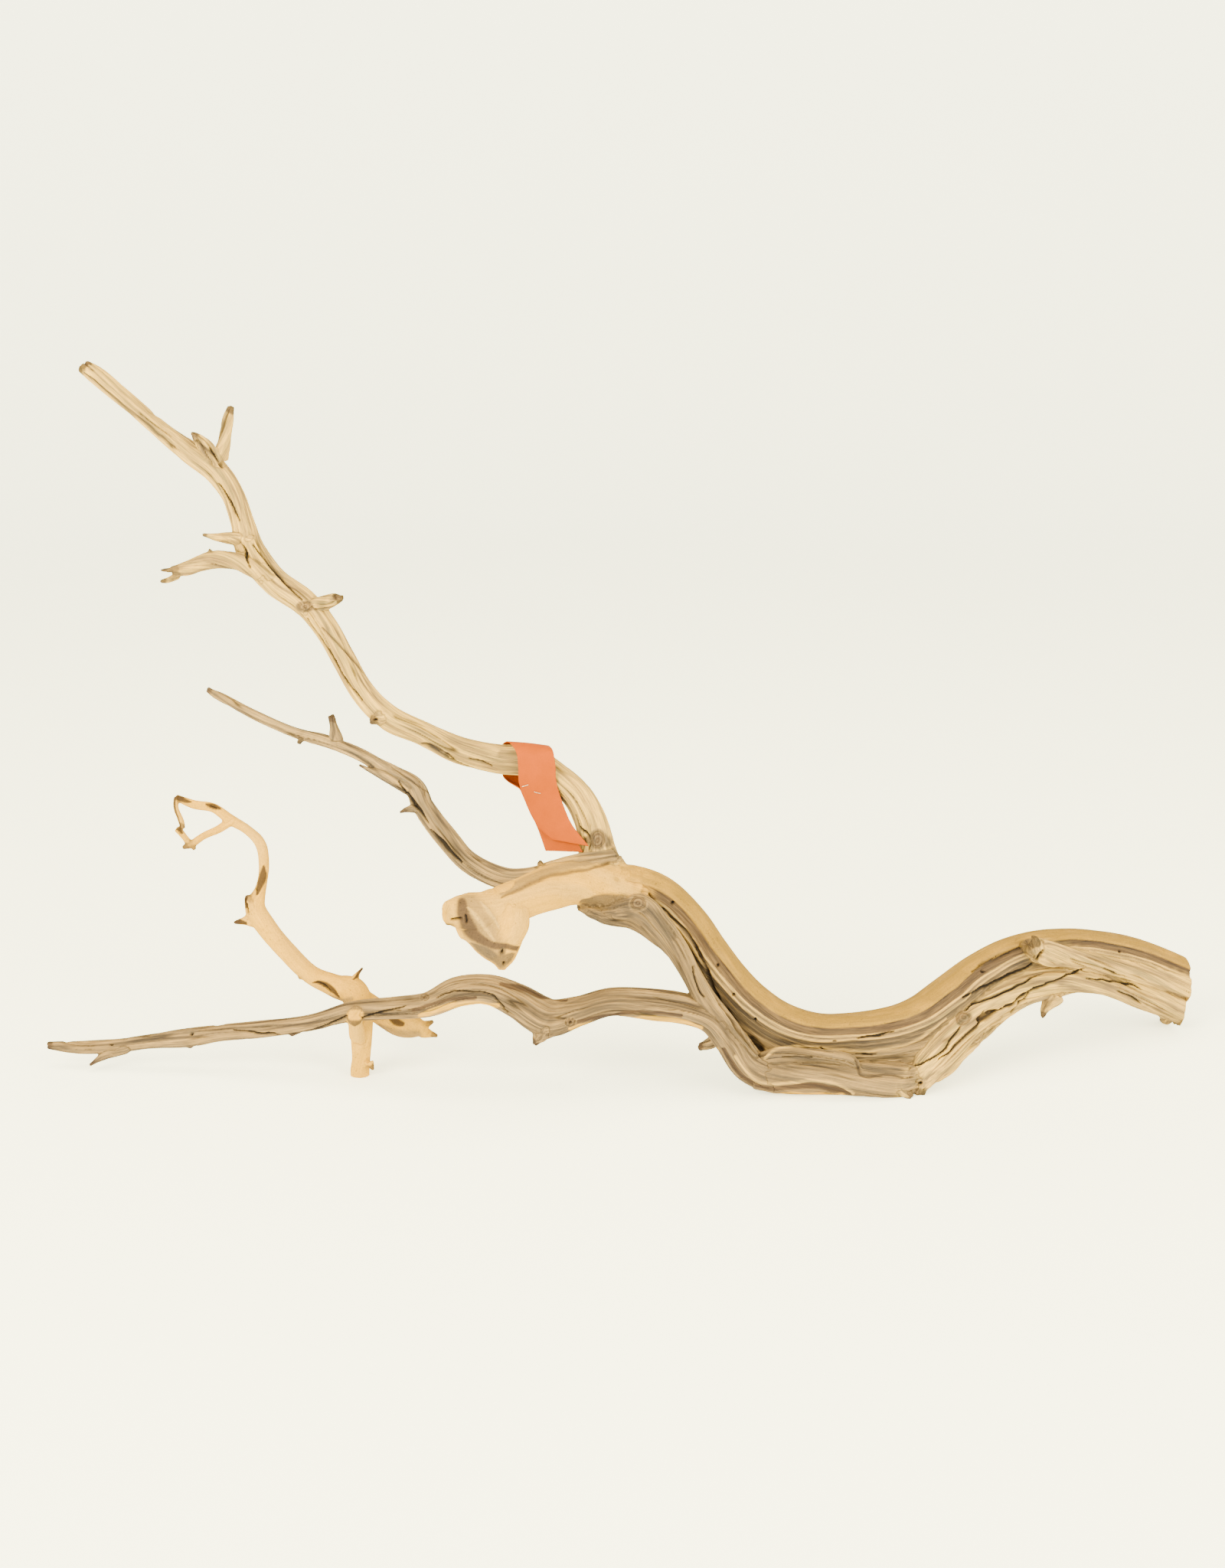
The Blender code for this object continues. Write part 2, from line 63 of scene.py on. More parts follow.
# The trunk's front face: (distance from its outer edge in mm, part of the full depth)
FACE_STEPS = (
    (0.0, 1.00), (7.4, 1.00), (8.8, 0.85), (12.8, 0.76), (14.0, 0.80), (15.3, 0.74),
    (16.8, 0.78), (18.6, 0.64), (25.0, 0.48), (32.0, 0.42), (45.0, 0.46), (60.0, 0.70),
)
# How wide the rim is at places along the trunk, as a share of the widths above
FACE_WIDTHS = ((170.0, 0.95), (225.0, 1.20), (307.0, 1.0), (360.0, 1.12), (433.0, 1.25))

# Stations of every limb: (x, y, z, half its height seen from the front, half its depth)
TRUNK = (
    (430, 66, 24, 23.5, 21), (379, 48, 50, 23.0, 23), (342, 32, 63, 22.0, 24),
    (311, 16, 66, 24.5, 25), (285, 2, 65, 25.0, 26), (262, -12, 58, 25.5, 27),
    (239, -28, 46, 27.0, 27), (217, -40, 37, 25.5, 27), (192, -46, 32, 23.0, 26),
    (163, -46, 29, 21.5, 25), (137, -45, 29, 21.5, 25), (111, -44, 38, 21.0, 25),
    (90, -42, 54, 20.0, 25), (75, -40, 72, 18.5, 25), (62, -38, 90, 18.0, 24),
    (49, -36, 109, 18.0, 24), (31, -36, 126, 19.0, 24), (13, -38, 135, 18.5, 24),
    (-5, -44, 139, 17.0, 21),
)
PALE_ARM = (
    (13, -38, 138, 15.5, 20), (-5, -44, 142, 15.5, 20), (-25, -54, 147, 15.0, 19),
    (-43, -68, 147, 15.0, 18), (-59, -84, 145, 14.0, 18), (-74, -97, 142, 14.0, 17),
    (-86, -106, 142, 12.5, 15), (-98, -112, 144, 11.0, 12), (-107, -116, 145, 7.5, 9),
)
KNUCKLE = (
    (-80, -94, 149, 20.0, 14), (-80, -99, 140, 24.0, 17), (-76, -103, 130, 23.0, 16),
    (-74, -106, 121, 17.0, 13), (-72, -108, 111, 9.0, 9), (-72, -110, 104, 2.2, 4),
)
UPPER_LIMB = (
    (-7, -34, 147, 18.5, 18), (-9, -30, 157, 14.0, 15), (-11, -28, 169, 11.5, 13),
    (-15, -24, 183, 10.5, 12), (-24, -18, 198, 10.0, 11), (-38, -12, 209, 10.0, 11),
    (-58, -6, 219, 10.0, 11), (-79, 2, 219, 9.5, 10.5), (-106, 8, 224, 9.0, 10),
    (-132, 14, 235, 8.0, 9), (-155, 20, 244, 8.5, 9.5), (-173, 25, 261, 8.5, 9.5),
    (-186, 30, 283, 8.5, 9.5), (-199, 34, 306, 8.5, 9.5), (-214, 38, 322, 9.0, 10),
    (-234, 42, 335, 9.5, 10.5), (-250, 46, 355, 10.0, 11), (-256, 49, 375, 8.0, 9.5),
    (-262, 51, 394, 7.5, 9), (-273, 53, 410, 8.0, 9), (-291, 56, 423, 7.5, 8.5),
    (-311, 59, 438, 6.0, 7), (-334, 63, 457, 5.5, 6.5), (-354, 66, 474, 5.5, 6.5),
    (-364, 68, 481, 4.5, 5),
)
MIDDLE_LIMB = (
    (0, -38, 160, 5.2, 9), (-22, -48, 158, 6.5, 9), (-40, -54, 156, 5.4, 9),
    (-56, -56, 151, 6.0, 9), (-75, -50, 149, 7.0, 8), (-97, -36, 156, 7.0, 8.5),
    (-114, -20, 170, 7.5, 8.5), (-129, -6, 186, 7.5, 8.5), (-137, 2, 199, 7.5, 8),
    (-153, 8, 207, 6.5, 7.5), (-175, 14, 219, 4.5, 6), (-197, 18, 227, 4.0, 5),
    (-221, 22, 233, 3.5, 4), (-250, 26, 245, 3.2, 3.6), (-273, 29, 257, 2.9, 3.4),
    (-282, 30, 262, 2.0, 2.2),
)
LOW_LIMB = (
    (137, -54, 9, 12.5, 17), (111, -59, 11, 11.5, 17), (93, -62, 20, 11.5, 16),
    (80, -64, 39, 10.5, 15), (67, -65, 54, 9.5, 14), (51, -65, 61, 10.0, 14),
    (29, -64, 64, 10.5, 13), (0, -64, 66, 9.5, 12), (-23, -63, 59, 10.0, 12),
    (-44, -62, 54, 13.0, 12), (-64, -61, 65, 11.5, 12), (-83, -60, 73, 10.0, 11.5),
    (-104, -58, 71, 10.0, 11), (-125, -56, 61, 8.5, 10.5), (-149, -53, 57, 7.5, 9.5),
    (-178, -48, 53, 7.0, 8.5), (-207, -42, 43, 5.8, 7), (-244, -34, 35, 6.0, 7),
    (-272, -28, 30, 5.6, 6.5), (-296, -24, 25, 6.5, 7.5), (-324, -21, 21, 5.1, 6),
    (-346, -19, 17, 4.8, 5.5), (-368, -17, 15, 4.6, 5), (-382, -16, 15, 4.0, 4),
    (-397, -15, 16, 2.7, 2.5),
)
CROSSING_LIMB = (
    (-174, -28, 36, 8.0, 9), (-179, -22, 57, 10.0, 11), (-193, -20, 62, 8.0, 9),
    (-210, -18, 70, 6.5, 7), (-226, -14, 85, 6.5, 7), (-240, -10, 101, 7.0, 7.5),
    (-248, -7, 114, 7.0, 7), (-244, -5, 129, 4.0, 4.4), (-242, -3, 144, 3.6, 4),
    (-244, -1, 159, 3.7, 4), (-253, 0, 169, 3.4, 3.8), (-264, 0, 176, 3.7, 3.8),
    (-275, -2, 185, 3.3, 3.4), (-287, -5, 188, 3.1, 3.1), (-295, -8, 192, 2.6, 2.6),
    (-299, -10, 195, 1.9, 2),
)
LEG = (
    (-174, -30, 44, 8.0, 8.5), (-174, -32, 31, 7.5, 8), (-175, -31, 14, 6.5, 7),
    (-176, -30, 4, 6.5, 6.8), (-176, -30, -5, 6.5, 6.8),
)
HEEL = (
    (-177, -22, 54, 7.5, 9), (-165, -19, 44, 8.0, 9), (-150, -15, 33, 9.0, 10),
    (-138, -11, 28, 7.0, 8), (-132, -9, 25, 4.3, 5),
)
ROPES = (
    ((430, 65, 12, 11.5, 12), (388, 47, 32, 10.5, 12), (352, 30, 48, 9.5, 12),
     (318, 12, 57, 10.5, 12), (287, -8, 57, 10.5, 12), (262, -24, 50, 11.0, 13),
     (240, -40, 38, 12.0, 13), (222, -53, 22, 12.0, 13), (209, -60, 8, 9.0, 10),
     (205, -63, -1, 4.5, 6)),
    ((430, 56, 31, 7.5, 10), (385, 37, 51, 7.0, 10), (349, 20, 64, 7.0, 10),
     (321, 6, 74, 7.5, 10), (299, -8, 83, 8.5, 11), (289, -12, 89, 4.8, 7)),
    ((295, 2, 51, 7.5, 10), (268, -16, 40, 7.5, 11), (243, -32, 24, 8.0, 12),
     (226, -44, 11, 7.0, 11), (212, -54, 5, 4.7, 8)),
    ((408, 66, 16, 8.0, 10), (412, 74, 6, 6.0, 7), (413, 79, -3, 4.5, 5)),
)
LOWER_STRANDS = (
    ((97, -62, 15, 11.5, 14), (120, -64, 13, 11.5, 14), (146, -64, 12, 12.0, 14),
     (172, -64, 10, 12.0, 14), (196, -62, 9, 11.5, 13), (212, -56, 11, 7.3, 9)),
    ((99, -64, 24, 4.7, 8), (114, -66, 28, 5.2, 8), (135, -66, 28, 4.7, 8),
     (159, -66, 25, 4.2, 7), (168, -66, 18, 3.1, 6)),
)
INNER_STRANDS = (
    ((-5, -52, 126, 5.2, 9), (17, -58, 131, 8.7, 11), (32, -60, 118, 7.7, 11),
     (44, -62, 102, 7.2, 11), (53, -64, 86, 6.7, 11), (63, -66, 68, 7.2, 11),
     (78, -68, 50, 6.2, 10), (96, -68, 29, 3.6, 7)),
    ((-23, -52, 130, 3.1, 8), (-5, -50, 124, 6.2, 12), (16, -48, 120, 8.3, 13),
     (34, -48, 106, 7.3, 13), (47, -47, 91, 5.5, 11), (58, -46, 74, 3.0, 7)),
)
UPPER_STUBS = (
    ((-209, 34, 319, 5.8, 7), (-199, 32, 322, 5.3, 6), (-191, 30, 325, 4.2, 4.5),
     (-186, 28, 327, 1.6, 2)),
    ((-253, 44, 364, 5.3, 7), (-264, 40, 366, 4.0, 5), (-272, 36, 367, 2.6, 3),
     (-281, 34, 369, 1.3, 1.4)),
    ((-237, 40, 340, 7.4, 8), (-256, 36, 350, 6.3, 7.5), (-274, 32, 352, 6.3, 7),
     (-291, 28, 347, 5.0, 5), (-301, 26, 345, 3.9, 4)),
    ((-298, 27, 346, 2.1, 2.4), (-305, 26, 346, 1.6, 1.8), (-309, 25, 346, 1.0, 1.1)),
    ((-297, 26, 342, 2.6, 2.6), (-304, 25, 339, 1.9, 2), (-309, 24, 338, 1.1, 1.2)),
    ((-275, 31, 356, 2.1, 2.5), (-276, 30, 360, 1.0, 1.2)),
    ((-270, 52, 419, 5.3, 6), (-266, 50, 433, 4.5, 5), (-263, 48, 445, 3.7, 4),
     (-260, 46, 455, 2.3, 2.6)),
    ((-270, 48, 417, 3.7, 3.5), (-277, 44, 427, 5.2, 3), (-283, 42, 434, 3.7, 2.2),
     (-287, 41, 438, 1.3, 1.2)),
    ((-160, 14, 245, 4.8, 5), (-167, 11, 243, 2.1, 2.4)),
)
MIDDLE_STUBS = (
    ((-191, 17, 228, 4.8, 4.5), (-193, 16, 238, 2.9, 3), (-194, 14, 246, 2.4, 2.5)),
    ((-132, -6, 186, 4.2, 5), (-139, -9, 186, 2.6, 3), (-146, -11, 184, 1.0, 1.2)),
    ((-140, -3, 198, 4.2, 4), (-152, 0, 204, 3.7, 3.5), (-164, 3, 209, 2.6, 2.5),
     (-175, 5, 214, 1.1, 1.2)),
    ((-215, 20, 230, 2.1, 3), (-218, 19, 226, 1.2, 1.6)),
    ((-48, -58, 159, 2.6, 3.5), (-49, -60, 163, 1.4, 2)),
)
LOW_STUBS = (
    ((-44, -64, 51, 12.4, 10), (-49, -66, 43, 5.7, 6), (-53, -67, 36, 1.6, 2)),
    ((-294, -25, 22, 4.3, 4), (-295, -26, 18, 1.4, 1.5)),
    ((-218, -39, 38, 4.8, 5), (-222, -41, 33, 1.5, 1.8)),
    ((-340, -21, 17, 4.8, 4.5), (-354, -22, 12, 3.5, 3.2), (-366, -25, 5, 1.3, 1.4)),
    ((76, -52, 41, 4.7, 7), (68, -46, 30, 4.2, 6), (60, -42, 25, 2.6, 4)),
)
CROSSING_STUBS = (
    ((-180, -22, 65, 4.3, 5), (-177, -22, 71, 1.8, 2.2), (-173, -22, 76, 1.0, 1.2)),
    ((-249, -8, 107, 6.4, 5), (-256, -10, 106, 2.7, 3), (-263, -11, 105, 1.0, 1.1)),
    ((-250, -8, 111, 4.8, 5), (-252, -9, 121, 3.5, 3.6), (-252, -9, 124, 2.4, 2.6)),
    ((-214, -18, 70, 2.7, 3), (-218, -20, 67, 1.1, 1.2)),
    ((-176, -38, 32, 5.8, 6.5), (-176, -48, 45, 5.0, 7), (-175, -58, 54, 4.7, 6)),
    ((-169, -35, 11, 3.2, 3.5), (-166, -37, 6, 1.1, 1.2)),
    ((-134, -9, 24, 4.3, 5), (-123, -10, 21, 1.2, 1.4)),
    ((-134, -9, 28, 3.8, 5), (-126, -10, 32, 1.2, 1.4)),
    ((-263, 0, 176, 3.4, 3.6), (-272, -3, 170, 2.8, 3), (-282, -6, 166, 2.4, 2.6),
     (-290, -9, 161, 2.5, 2.6), (-296, -11, 159, 1.4, 1.5)),
    ((-299, -10, 195, 1.7, 1.8), (-299, -11, 187, 1.9, 2), (-296, -12, 179, 2.1, 2.2),
     (-295, -12, 173, 1.8, 2)),
    ((-299, -12, 173, 2.6, 2.8), (-294, -11, 166, 2.2, 2.4), (-291, -9, 161, 2.6, 2.6)),
    ((-290, -9, 162, 2.1, 2.4), (-288, -9, 157, 1.4, 1.8)),
)
TRUNK_STUBS = (
    ((314, 8, 45, 6.5, 7), (308, 5, 37, 3.8, 4.5), (305, 3, 30, 1.2, 1.6)),
    ((387, 46, 31, 4.5, 6), (385, 44, 26, 2.0, 3)),
    ((295, -14, 88, 4.8, 7), (292, -17, 96, 1.9, 3)),
    ((198, -64, 13, 4.2, 6), (193, -70, 7, 3.6, 5), (203, -72, 0, 2.2, 3.5)),
    ((214, -60, 13, 4.7, 7), (210, -66, 0, 2.2, 3.5)),
)
KNUCKLE_TWIG = ((-97, -111, 141, 3.5, 4), (-104, -117, 139, 2.4, 2.6), (-107, -119, 138, 1.2, 1.6))

# Flutes of a limb: (how many round it, part of the radius, turns from end to end)
SMOOTH = (3, 0.03, 0.3)
FLUTED = (5, 0.09, 0.7)
GNARLED = (4, 0.16, 1.1)
MEAN_FLUTE = 0.6
SWELL_SHARE = 0.4
SWELL_TURN = 9.0

# How curves are read and points placed on them
SPAN_READS = 24              # readings between two stations
FEWEST_RINGS = 4
COARSE_STEP = 6              # every so many readings are tried first
PLACE_ROUNDS = 3             # steps from there to the nearest place on the curve
BATCH = 20000                # points placed at a time
SEARCH_MARGIN = 6.0          # mm round a limb in which points may be on it
FAR = 1e9
NOISE_SEED = 7

# Colours, as the share of red, green and blue light that each surface gives back
PALE = np.array([0.55, 0.287, 0.026])
RIM = np.array([0.218, 0.124, 0.023])
CREAM = np.array([0.42, 0.258, 0.080])
STRAW = np.array([0.50, 0.312, 0.085])
GREY_STRAW = np.array([0.29, 0.188, 0.088])
TAN = np.array([0.170, 0.109, 0.055])
LIGHT_LINE = np.array([0.225, 0.144, 0.070])
DARK_LINE = np.array([0.054, 0.038, 0.029])
GREY_BROWN = np.array([0.072, 0.052, 0.039])
GREEN_GREY = np.array([0.085, 0.070, 0.043])
BROWN = np.array([0.060, 0.037, 0.026])
DARK_BROWN = np.array([0.027, 0.018, 0.014])
SCAR_BROWN = np.array([0.042, 0.024, 0.015])
# Painted shade: the near-black put into cracks and holes for the shade inside them
CRACK_SHADE = np.array([0.010, 0.008, 0.008])

# How each kind of surface is carved:
# (pitch of the wide ridges, their height, pitch of the fine ones, their height,
#  how much longer than wide the ridges are, depth of cracks, part of the surface with cracks,
#  turns of the grain from end to end)
CARVING = {
    "pale": (16.0, 0.50, 5.0, 0.10, 3.0, 0.0, 0.00, 0.3),
    "face": (9.0, 0.40, 2.8, 0.30, 22.0, 0.6, 0.06, 0.0),
    "straw": (7.0, 0.80, 2.6, 0.40, 15.0, 1.3, 0.14, 0.6),
    "grey": (7.0, 0.95, 2.9, 0.45, 15.0, 1.3, 0.16, 0.3),
    "lined": (8.0, 0.70, 2.6, 0.40, 20.0, 1.0, 0.10, 0.25),
    "olive": (7.0, 0.90, 2.2, 0.45, 18.0, 1.5, 0.12, 0.2),
    "gnarled": (8.5, 1.30, 2.6, 0.50, 14.0, 2.0, 0.08, 0.5),
    "broken": (6.0, 1.20, 2.4, 0.50, 3.0, 0.0, 0.00, 0.2),
}
# Their colours: in the valleys, on the ridges, and of the patches
PALETTE = {
    "pale": (PALE * 0.86, PALE, CREAM),
    "face": (GREY_BROWN, GREY_STRAW, TAN),
    "straw": (TAN, STRAW, STRAW),
    "grey": (GREY_BROWN, GREY_STRAW, TAN),
    "olive": (GREY_BROWN, TAN, GREY_STRAW),
    "lined": (DARK_LINE, LIGHT_LINE, TAN),
    "gnarled": (TAN, STRAW, GREY_STRAW),
    "broken": (DARK_BROWN, BROWN, TAN),
}

# The trunk's growth bands: (distance from its outer edge in mm, colour)
FACE_BANDS = (
    # The first brown band, in the step below the rim, is brown wood with painted shade of that step
    (8.2, BROWN), (12.8, BROWN), (13.3, CREAM), (14.0, CREAM), (14.6, GREY_BROWN), (15.6, TAN),
    (16.2, CREAM), (16.9, CREAM), (17.5, GREY_BROWN), (19.6, GREY_BROWN), (20.1, TAN),
    (20.7, GREY_BROWN), (25.0, GREY_BROWN), (26.0, LIGHT_LINE),
)

# Every limb: name, kind of surface, stations, flutes, sides
GROWTH = [
    ("trunk", "face", TRUNK, SMOOTH, 150),
    ("arm", "pale", PALE_ARM, SMOOTH, 96),
    ("knuckle", "pale", KNUCKLE, SMOOTH, 96),
    ("upper", "straw", UPPER_LIMB, FLUTED, 80),
    ("middle", "grey", MIDDLE_LIMB, FLUTED, 64),
    ("low", "lined", LOW_LIMB, FLUTED, 80),
    ("crossing", "pale", CROSSING_LIMB, SMOOTH, 56),
    ("leg", "pale", LEG, SMOOTH, 56),
    ("heel", "pale", HEEL, FLUTED, 56),
]
GROWTH += [("rope", "gnarled", strand, GNARLED, 64) for strand in ROPES]
GROWTH += [("lower", "olive", strand, GNARLED, 64) for strand in LOWER_STRANDS]
GROWTH += [("inner", "olive", strand, GNARLED, 64) for strand in INNER_STRANDS]
GROWTH += [("upper", "straw", stub, SMOOTH, 32) for stub in UPPER_STUBS]
GROWTH += [("middle", "grey", stub, SMOOTH, 32) for stub in MIDDLE_STUBS]
GROWTH += [("low", "lined", stub, SMOOTH, 32) for stub in LOW_STUBS]
GROWTH += [("crossing", "pale", stub, SMOOTH, 32) for stub in CROSSING_STUBS]
GROWTH += [("rope", "gnarled", stub, SMOOTH, 32) for stub in TRUNK_STUBS]
GROWTH += [("knuckle", "broken", KNUCKLE_TWIG, SMOOTH, 32)]
LIMB_NAMES = sorted({row[0] for row in GROWTH})
BLEND_REACH = 2.5            # mm over which one limb's carving runs into the next
BORDER_WANDER = 2.2          # mm by which the borders between limbs stray
BORDER_PITCH = 5.0
BORDER_SHIFT = 13.0
LEAST_WEIGHT = 1e-6          # every limb near a point counts at least this much there

# The pieces that the grown skin is stored as: the limbs of each, and where it runs along X in mm
TRUNK_SPLIT = 200.0
WHOLE_LENGTH = (-math.inf, math.inf)
PIECES = {
    "wood_trunk_rise": (("trunk",), (-math.inf, TRUNK_SPLIT)),
    "wood_trunk_end": (("trunk",), (TRUNK_SPLIT, math.inf)),
    "wood_strands": (("rope", "lower", "inner"), WHOLE_LENGTH),
    "wood_arm": (("arm", "knuckle"), WHOLE_LENGTH),
    "wood_upper_limb": (("upper",), WHOLE_LENGTH),
    "wood_middle_limb": (("middle",), WHOLE_LENGTH),
    "wood_low_limb": (("low",), WHOLE_LENGTH),
    "wood_crossing_limb": (("crossing", "leg", "heel"), WHOLE_LENGTH),
}

# Kinds of marks: height in mm, colour, how much of the colour shows, soft part of the width
MARK_KINDS = {
    # Painted shade: a crack is dented, and filled with near-black for the shade in it
    "crack": (-1.5, CRACK_SHADE, 0.97, 0.45),
    # Painted shade: a groove is dented, and darkened with a dark line for the shade in it
    "groove": (-1.3, DARK_LINE, 0.85, 0.8),
    "band": (-0.6, BROWN, 0.95, 0.45),
    "trough": (-1.4, GREY_BROWN, 0.85, 0.5),
    # Painted shade: a recess is dented, and darkened with dark brown for the shade in it
    "recess": (-2.5, DARK_BROWN, 0.90, 0.7),
    "crest": (0.9, CREAM, 0.85, 0.8),
    "fold": (-0.8, BROWN, 0.75, 0.9),
    "scar": (-0.5, SCAR_BROWN, 0.95, 0.35),
    "smooth": (0.0, PALE, 0.85, 0.4),
    "tanned": (0.0, TAN, 0.75, 0.6),
    "greenish": (0.0, GREEN_GREY, 0.65, 0.8),
    # Painted shade: a hole is dented, and filled with near-black for the shade in it
    "hole": (-2.5, CRACK_SHADE, 1.0, 0.6),
}

# Limbs that meet: round the trunk's face, at its foot, and on the ledge above the arm
FACE_LIMBS = "trunk inner rope lower"
FOOT_LIMBS = "trunk lower rope"
LEDGE_LIMBS = "arm middle upper"
